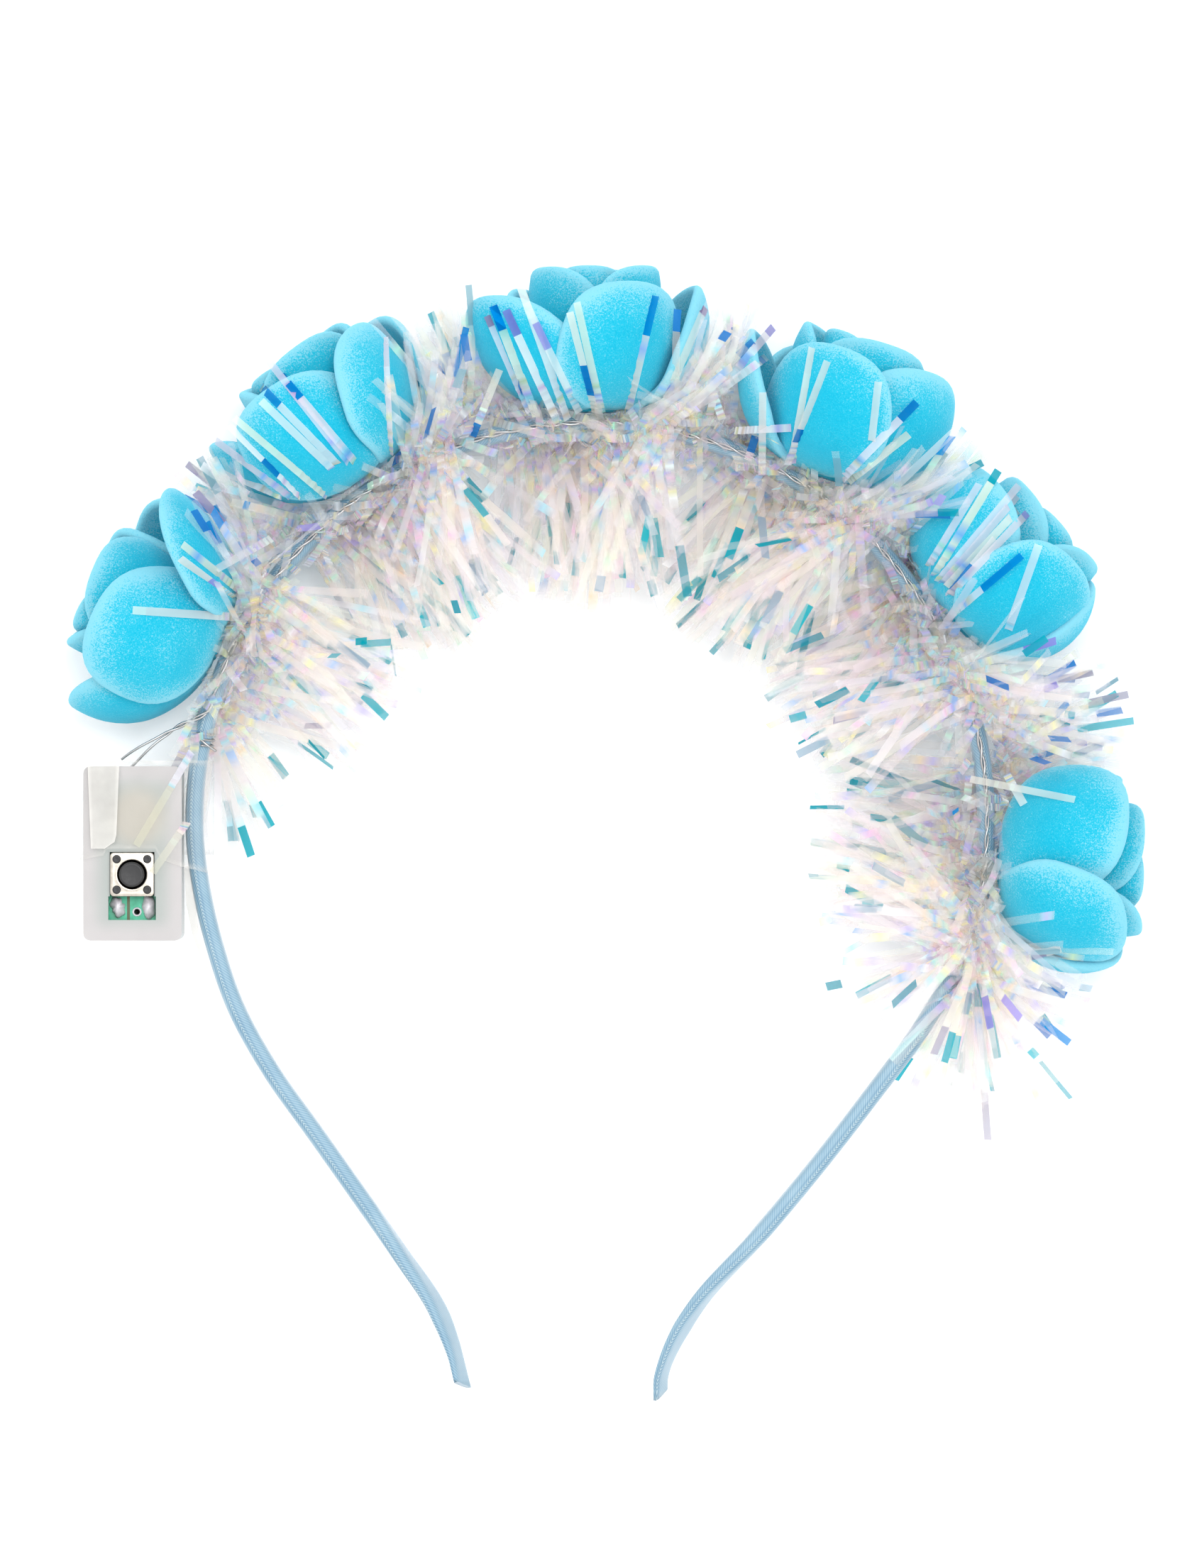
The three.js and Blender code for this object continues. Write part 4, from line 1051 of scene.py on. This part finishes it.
# stretches of ribbon that show between the strips, in degrees on the crown, and past the garland's end
BARE_DEG = [(143, 136), (110, 100), (78, 71), (46, 36), (17, 4)]
BARE_PAST_END = (1, 50)
BARE_STRETCHES = [(travel_at(start), travel_at(end)) for start, end in BARE_DEG]
BARE_STRETCHES.append(tuple(CORE_KNOTS[-1] + past for past in BARE_PAST_END))
BARE_REACH = 1.5
BARE_SHARE = 0.88
COARSE_LINE, COARSE_TRAVEL = BAND_LINE[::8], BAND_TRAVEL[::8]

CRIMPED_TO = 0.42
CRIMP_DEPTH = 0.1
STRIP_STOPS = np.concatenate([np.linspace(0, CRIMPED_TO, 12), np.linspace(0.5, 1, 6)])
STRIP_WIDTHS = (1.0, 1.25)
STRIP_CEILING = 21.0
FLOOR_CLEARANCE = 0.8
ROOT_SPREAD = 0.35
RISE_SHARE = 0.85
FRINGE_TRIES, FRINGE_LENGTHS, FRINGE_SPREAD_DEG = 2400, (17, 25.5), 32
BURST_TRIES, BURST_LENGTHS, BURST_SPREAD_DEG = 1500, (13, 21), 40
TUFT_LENGTHS = (16, 24)
CURL_TRIES, CURL_LENGTHS, CURL_BOW, CURL_GLINT_TO = 1900, (5, 11), 0.4, 0.8
BAND_CURLS = 0.45
FRONT_WIDTHS = (1.0, 1.2)
STRIP_STANDOFF = 0.5
# steps and rounds of laying a strip down, and the heights that it is dropped from, caught at and hangs to
DRAPE_STEPS, DRAPE_ROUNDS = 48, 3
DROPPED_FROM, CAUGHT_ABOVE, HANGS_TO = 60, -4, -50
# turn of the core, and the share of the strips that are left there
FRINGE_DENSITY = [(-0.36, 0.3), (-0.1, 0.5), (0.15, 1), (4.9, 1), (5.2, 0.75), (5.45, 0.55)]
# share of the strips with a block of painted reflection in strong colour, and the colours it is drawn from
FRINGE_ACCENTS = (0.11, ("teal", "teal", "teal", "dusk"))
BURST_ACCENTS = (0.14, ("teal", "blue", "blue", "violet", "dusk"))
TUFT_ACCENTS = (0.14, ("teal", "dusk"))
# how clear a strip is at its root, how much clearer at its tip, and the most
SHEER, FRONT_SHEER, TIP_SHEER, CLEAREST = (0.5, 0.76), (0.08, 0.32), 0.18, 0.8
GLINT_SHEER, ACCENT_SHEER, CREAM_SHEER = (0.15, 0.5), (0.04, 0.3), 0.55
# how often a fold shows a painted glint, among the fine folds and past them
GLINT_SHARES = (0.36, 0.06)
DARKEST = 0.96
PALE = srgb_list((253, 248, 244), (253, 246, 234), (252, 237, 230), (250, 241, 242), (247, 240, 247),
                 (251, 242, 230), (253, 248, 228), (251, 236, 224), (232, 223, 230), (255, 252, 249),
                 (250, 232, 236))
# painted glints in the film
GLINT = srgb_list((254, 247, 186), (251, 206, 233), (176, 235, 248), (208, 196, 251),
                  (255, 255, 255), (210, 248, 222), (156, 196, 247), (252, 226, 196))
# teal, dusk, blue and violet blocks are painted reflections in the film
VIVID = {
    "teal": srgb_list((0, 152, 166), (0, 160, 176), (26, 174, 188), (0, 140, 158)),
    "dusk": srgb_list((132, 172, 182), (150, 186, 196), (170, 164, 180), (146, 168, 188)),
    "blue": srgb_list((0, 118, 194), (0, 138, 206), (40, 120, 190)),
    "violet": srgb_list((136, 124, 204), (170, 158, 222), (150, 138, 172)),
    "cream": srgb_list((238, 234, 214), (240, 236, 220)),
}


class Strips:
    """Narrow film strips gathered into one mesh, each with its own blocks of colour, painted glints and
    painted reflections among them.
    """

    def __init__(self):
        self.paths, self.sides, self.widths, self.tints, self.clears = [], [], [], [], []

    def add(self, path, side, width, draw, sheer=SHEER, glint_to=CRIMPED_TO, accent=None):
        self.paths.append(path)
        self.sides.append(side)
        self.widths.append(width)
        count = len(STRIP_STOPS)
        main = np.array(PALE[draw.integers(len(PALE))][:3])
        tints = np.tile(main, (count, 1))
        clears = np.minimum(draw.uniform(*sheer) + TIP_SHEER * STRIP_STOPS, CLEAREST)
        for k in range(count):
            # a painted glint now and then
            if draw.random() < GLINT_SHARES[0 if STRIP_STOPS[k] < glint_to else 1]:
                tints[k] = GLINT[draw.integers(len(GLINT))][:3]
                clears[k] = draw.uniform(*GLINT_SHEER)
            tints[k] *= draw.uniform(DARKEST, 1.0)
        tints, clears = (np.stack([v[:-1], v[:-1], v[1:], v[1:]], 1) for v in (tints, clears))
        # a block of painted reflection, or of cream
        if accent:
            kind, start, end = accent
            colour = VIVID[kind][draw.integers(len(VIVID[kind]))]
            chosen = (STRIP_STOPS[:-1] >= start - 1e-6) & (STRIP_STOPS[:-1] < end)
            tints[chosen] = colour[:3]
            clears[chosen] = CREAM_SHEER if kind == "cream" else draw.uniform(*ACCENT_SHEER)
        self.tints.append(tints)
        self.clears.append(clears)

    def piece(self, name, **settings):
        paths, sides = np.array(self.paths), np.array(self.sides)
        half = (np.array(self.widths) / 2)[:, None, None]
        points = np.stack([paths - sides * half, paths + sides * half], 2).reshape(-1, 3)
        stops = len(STRIP_STOPS)
        starts = [2 * (strip * stops + k) for strip in range(len(paths)) for k in range(stops - 1)]
        faces = [(a, a + 1, a + 3, a + 2) for a in starts]
        made = add_piece(name, points, faces, FILM, slot="film", flat=True, **settings)
        mesh = made.data
        tints = np.array(self.tints).reshape(-1, 3)
        tints = np.column_stack([tints, np.ones(len(tints))])
        tint = mesh.color_attributes.new("tint", "FLOAT_COLOR", "CORNER")
        tint.data.foreach_set("color", tints.astype(np.float32).ravel())
        clear = mesh.attributes.new("clear", "FLOAT", "CORNER")
        clear.data.foreach_set("value", np.array(self.clears).ravel().astype(np.float32))


def crimped(path, side, draw, crimp_to=CRIMPED_TO):
    """The fine folds that a strip keeps near its root."""
    normal = np.cross(unit(np.gradient(path, axis=0)), side)
    fade = np.clip(1 - STRIP_STOPS / (crimp_to + 0.12), 0, 1) ** 0.5
    sign = np.where(np.arange(len(STRIP_STOPS)) % 2 == 0, 1, -1)
    depth = CRIMP_DEPTH * sign * fade * draw.uniform(0.5, 1.4, len(STRIP_STOPS))
    return path + normal * depth[:, None]


def bent_strip(draw, root, direction, length, bow_share=0.14, crimp_to=CRIMPED_TO):
    """A nearly straight strip that bows and turns a little along its length."""
    direction = unit(direction)
    bow = draw.normal(size=3)
    bow = unit(bow - direction * np.dot(bow, direction))
    s = STRIP_STOPS[:, None]
    path = root + length * (s * direction + draw.uniform(0.0, bow_share) * s * s * bow)
    level = unit(np.cross(UP, direction))
    roll = draw.normal(0, 0.55) + draw.normal(0, 0.5) * (1 - STRIP_STOPS) ** 2
    side = swung(roll, level, np.cross(direction, level))
    return crimped(path, side, draw, crimp_to), side


def crosses(tree, path):
    """Whether a strip runs into a solid, past the first of its folds."""
    for a, b in zip(path[2:], path[3:]):
        step = b - a
        reach = float(np.linalg.norm(step))
        if tree.ray_cast(Vector(a), Vector(step / reach), reach)[0] is not None:
            return True
    return False


def upper_hull(run, heights):
    """Heights of the tight line that passes over every point."""
    kept = []
    for k in range(len(run)):
        while len(kept) > 1:
            a, b = kept[-2], kept[-1]
            rise = (heights[b] - heights[a]) * (run[k] - run[a])
            if rise > (heights[k] - heights[a]) * (run[b] - run[a]):
                break
            kept.pop()
        kept.append(k)
    return np.interp(run, run[kept], heights[kept])


def draped_strip(tree, draw, root, tip, root_height):
    """A strip laid over what is under it, along the line from root to tip as the photograph shows it."""
    shares = np.linspace(0, 1, DRAPE_STEPS)
    seen = lerp(np.array(root), np.array(tip), shares[:, None])
    middle = np.array(VIEW_CENTRE)
    heights = np.full(len(shares), float(root_height))
    for _ in range(DRAPE_ROUNDS):
        plan = middle + (seen - middle) * ((CAMERA_DISTANCE - heights) / CAMERA_DISTANCE)[:, None]
        under = np.full(len(shares), -np.inf)
        for k, (x, y) in enumerate(plan):
            hit = tree.ray_cast(Vector((x, y, DROPPED_FROM)), Vector((0, 0, -1)))[0]
            if hit is not None and hit.z > CAUGHT_ABOVE:
                under[k] = hit.z + STRIP_STANDOFF
        met = np.flatnonzero(np.isfinite(under))
        last = met[-1] if len(met) else 0
        under[last + 1:] = under[last] if len(met) else root_height
        under[0] = root_height
        under = np.maximum(under, HANGS_TO)
        heights = upper_hull(run_along(plan), under)
    line = np.column_stack([plan, heights])
    travel = run_along(line)
    path = at_run(STRIP_STOPS * travel[-1], travel, line)
    tangent = unit(np.gradient(path, axis=0))
    level = unit(np.cross(UP, tangent))
    roll = draw.normal(0, 0.22) + draw.normal(0, 0.25) * (1 - STRIP_STOPS)
    side = swung(roll, level, np.cross(tangent, level))
    return crimped(path, side, draw), side


def pick_accent(draw, share, kinds):
    """Now and then a block of painted reflection in strong colour, more often at the tip than along the
    strip.
    """
    if draw.random() > share:
        return None
    run = draw.uniform(0.12, 0.4)
    start = 1 - run if draw.random() < 0.65 else draw.uniform(0.3, 0.6)
    return kinds[draw.integers(len(kinds))], start, start + run


def core_root(draw, low, high):
    turn = draw.uniform(low, high)
    place, tangent, across = core_at(turn)
    return turn, place + draw.normal(0, ROOT_SPREAD, 3), tangent, across


def hides_ribbon(path):
    """Whether a strip lies over a stretch of the band that the photograph shows."""
    apart = np.linalg.norm(path[:, None, :2] - COARSE_LINE[None, :, :2], axis=2)
    travel = COARSE_TRAVEL[np.argmin(apart, axis=1)]
    over = (apart.min(axis=1) < BARE_REACH) & (path[:, 2] > 0)
    return any(np.any(over & (travel > start) & (travel < end)) for start, end in BARE_STRETCHES)


def fits(path, obstacles, draw):
    low, high = path[:, 2].min(), path[:, 2].max()
    if low < FLOOR_Z + FLOOR_CLEARANCE or high > STRIP_CEILING or crosses(obstacles, path):
        return False
    return draw.random() > BARE_SHARE or not hides_ribbon(path)


def lay(strips, draw, obstacles, strip, accents=None, **looks):
    """Adds a strip, now and then with an accent, if there is room for it."""
    if fits(strip[0], obstacles, draw):
        width = draw.uniform(*STRIP_WIDTHS)
        accent = pick_accent(draw, *accents) if accents else None
        strips.add(*strip, width, draw, accent=accent, **looks)


def add_fringe(strips, draw, obstacles):
    """Strips that reach to the inside of the crown."""
    for _ in range(FRINGE_TRIES):
        turn, root, tangent, across = core_root(draw, CORE_TURNS[0], CORE_TURNS[-1])
        if draw.random() > np.interp(turn, *np.transpose(FRINGE_DENSITY)):
            continue
        angle = math.radians(draw.normal(0, FRINGE_SPREAD_DEG))
        direction = (-across * math.cos(angle) + UP * math.sin(angle) * RISE_SHARE
                     + tangent * draw.normal(0, 0.24))
        strip = bent_strip(draw, root, direction, draw.uniform(*FRINGE_LENGTHS))
        lay(strips, draw, obstacles, strip, FRINGE_ACCENTS)


def add_bursts(strips, draw, obstacles):
    """Strips that stand outward between the roses and lean away from them."""
    for _ in range(BURST_TRIES):
        turn, root, tangent, across = core_root(draw, -0.05, CORE_TURNS[-1])
        from_rose = turn - np.clip(np.round(turn), 0, len(ROSES) - 1)
        lean = np.sign(from_rose) * draw.uniform(0, 1.1) * (1 - min(1, 2 * abs(from_rose)))
        lean += draw.normal(0, 0.28)
        angle = math.radians(180 + draw.normal(0, BURST_SPREAD_DEG))
        direction = -across * math.cos(angle) + UP * math.sin(angle) * RISE_SHARE + tangent * lean
        strip = bent_strip(draw, root, direction, draw.uniform(*BURST_LENGTHS))
        lay(strips, draw, obstacles, strip, BURST_ACCENTS)


def add_tufts(strips, draw, obstacles):
    """The loose strips past each end of the core."""
    for low, high, way, swing, tries in (
        (CORE_TURNS[0], CORE_TURNS[0] + 0.16, -1, (-1.3, 0.2), 60),
        (CORE_TURNS[-1] - 0.2, CORE_TURNS[-1], 1, (-1.0, 0.9), 230),
    ):
        for _ in range(tries):
            _, root, tangent, across = core_root(draw, low, high)
            direction = (tangent * way * draw.uniform(0.5, 1.2) + across * draw.uniform(*swing)
                         + UP * draw.normal(-0.1, 0.3))
            strip = bent_strip(draw, root, direction, draw.uniform(*TUFT_LENGTHS))
            lay(strips, draw, obstacles, strip, TUFT_ACCENTS)


def add_curls(strips, draw, obstacles):
    """Short crinkled strips close about the core and over the front of the band."""
    for _ in range(CURL_TRIES):
        turn, root, tangent, across = core_root(draw, CORE_TURNS[0], CORE_TURNS[-1])
        travel = np.interp(turn, CORE_TURNS, CORE_KNOTS) + draw.normal(0, 4)
        over, _, out = band_at(travel)
        if draw.random() < BAND_CURLS:
            way = draw.choice((-1, 1))
            off = BAND_THICKNESS / 2 + draw.uniform(0.3, 1.2)
            root = over + out * way * off + UP * draw.uniform(-0.5, 2.5)
            over = over - out * way * draw.uniform(0, 3) + tangent * draw.normal(0, 3)
        over = over + UP * (BAND_WIDTH / 2 + draw.uniform(0.8, 4)) + out * draw.normal(0, 2)
        reach = over - root + draw.normal(0, 1.2, 3)
        strip = bent_strip(draw, root, reach, draw.uniform(*CURL_LENGTHS), CURL_BOW, 1.0)
        lay(strips, draw, obstacles, strip, glint_to=CURL_GLINT_TO)


CORE_STEPS = 900
CORE_TWISTS = 16
CORE_CORD_RADIUS = 0.2
CORE_CORD_OFFSET = 0.18


def make_garland(obstacles):
    draw = np.random.default_rng(7)
    fringe, bursts, curls, fronts = Strips(), Strips(), Strips(), Strips()
    add_fringe(fringe, draw, obstacles)
    add_bursts(bursts, draw, obstacles)
    add_tufts(fringe, draw, obstacles)
    add_curls(curls, draw, obstacles)
    for root_x, root_y, tip_x, tip_y, height, *accent in FRONT_STRIPS:
        strip = draped_strip(obstacles, draw, (root_x, root_y), (tip_x, tip_y), height)
        fronts.add(*strip, draw.uniform(*FRONT_WIDTHS), draw, FRONT_SHEER, accent=accent)
    fringe.piece("tinsel_fringe", replaces=["tinsel_garland"])
    bursts.piece("tinsel_bursts", replaces=["tinsel_garland"])
    curls.piece("tinsel_curls", replaces=["tinsel_garland"])
    fronts.piece("tinsel_fronts", replaces=["tinsel_garland"])

    turns = np.linspace(CORE_TURNS[0], CORE_TURNS[-1], CORE_STEPS)
    route, _, _ = core_at(turns)
    _, one, two = path_frames(route)
    twist = 2 * math.pi * turns * CORE_TWISTS
    cord = Shape()
    for side in (0, math.pi):
        offset = CORE_CORD_OFFSET * swung(twist + side, one, two)
        cord.add(*tube(route + offset, CORE_CORD_RADIUS, WIRE_SIDES))
    cord.piece("tinsel_core", CORE, slot="film")


def obstacle_tree():
    """What the strips stay clear of: the band, the roses and the battery case."""
    solid = Shape()
    for shape in solid_shapes:
        solid.add(np.concatenate(shape.points), shape.faces)
    low = np.array([CASE["left"] - 0.6, CASE["bottom"] - 0.3, CASE["back"] - 0.6])
    high = np.array([CASE["right"] + 0.3, TAPE_TOP + 0.1, CASE["front"] + 0.7])
    corners = np.array([[low[0], low[1]], [high[0], low[1]], [high[0], high[1]], [low[0], high[1]]])
    box = np.concatenate([np.column_stack([corners, np.full(4, z)]) for z in (low[2], high[2])])
    sides = [(k, (k + 1) % 4, 4 + (k + 1) % 4, 4 + k) for k in range(4)]
    solid.add(box, [(3, 2, 1, 0), (4, 5, 6, 7), *sides])
    return BVHTree.FromPolygons([tuple(p) for p in np.concatenate(solid.points)], solid.faces)


# Stage
VIEW_CENTRE = (0.8, 5.0)
VIEW_HEIGHT = 221.0
CAMERA_DISTANCE = 1400.0
SENSOR_HEIGHT = 36
FILM_LAYERS = 26
LIGHT_BOUNCES = 9
FLOOR_REACH = 3.0
SKY_STRENGTH = 1.28
# name, place in metres, size, power
LAMPS = [
    ("front", (0.1, 0.22, 1.3), 0.3, 6.2),
    ("key", (-0.45, 0.5, 0.75), 0.32, 1.5),
    ("fill", (0.6, -0.15, 0.7), 0.28, 0.7),
    ("back", (0.1, -0.7, 0.6), 0.26, 0.6),
]


def make_camera():
    scene = bpy.context.scene
    data = bpy.data.cameras.new("camera")
    data.sensor_fit = "VERTICAL"
    data.sensor_height = SENSOR_HEIGHT
    data.lens = SENSOR_HEIGHT * CAMERA_DISTANCE / VIEW_HEIGHT
    data.clip_end = 20
    camera = bpy.data.objects.new("camera", data)
    camera.location = (np.array([*VIEW_CENTRE, CAMERA_DISTANCE]) + ORIGIN) / 1000
    scene.collection.objects.link(camera)
    scene.camera = camera
    scene.view_settings.view_transform = "Standard"
    scene.cycles.transparent_max_bounces = FILM_LAYERS
    scene.cycles.diffuse_bounces = LIGHT_BOUNCES


def make_floor_and_light():
    scene = bpy.context.scene
    floor = bpy.data.meshes.new("floor")
    corners = [(x * FLOOR_REACH, y * FLOOR_REACH, 0) for x, y in ((-1, -1), (1, -1), (1, 1), (-1, 1))]
    floor.from_pydata(corners, [], [(0, 1, 2, 3)])
    plane = bpy.data.objects.new("floor", floor)
    scene.collection.objects.link(plane)
    floor.materials.append(new_material("floor", Base_Color=(0.9, 0.9, 0.9, 1), Roughness=0.9))

    world = bpy.data.worlds.new("studio")
    scene.world = world
    world.use_nodes = True
    sky = world.node_tree.nodes["Background"].inputs
    sky["Color"].default_value = (1, 1, 1, 1)
    sky["Strength"].default_value = SKY_STRENGTH

    for name, place, size, power in LAMPS:
        light = bpy.data.lights.new(name, "AREA")
        light.energy = power
        light.size = size
        lamp = bpy.data.objects.new(name, light)
        lamp.location = place
        lamp.rotation_euler = (-Vector(place)).to_track_quat("-Z", "Y").to_euler()
        scene.collection.objects.link(lamp)


make_camera()
make_floor_and_light()
make_band()
for index, row in enumerate(ROSES, 1):
    make_rose(index, *row)
make_lights()
make_switch()
make_solder()
make_tape()
dress_nodes()
make_garland(obstacle_tree())
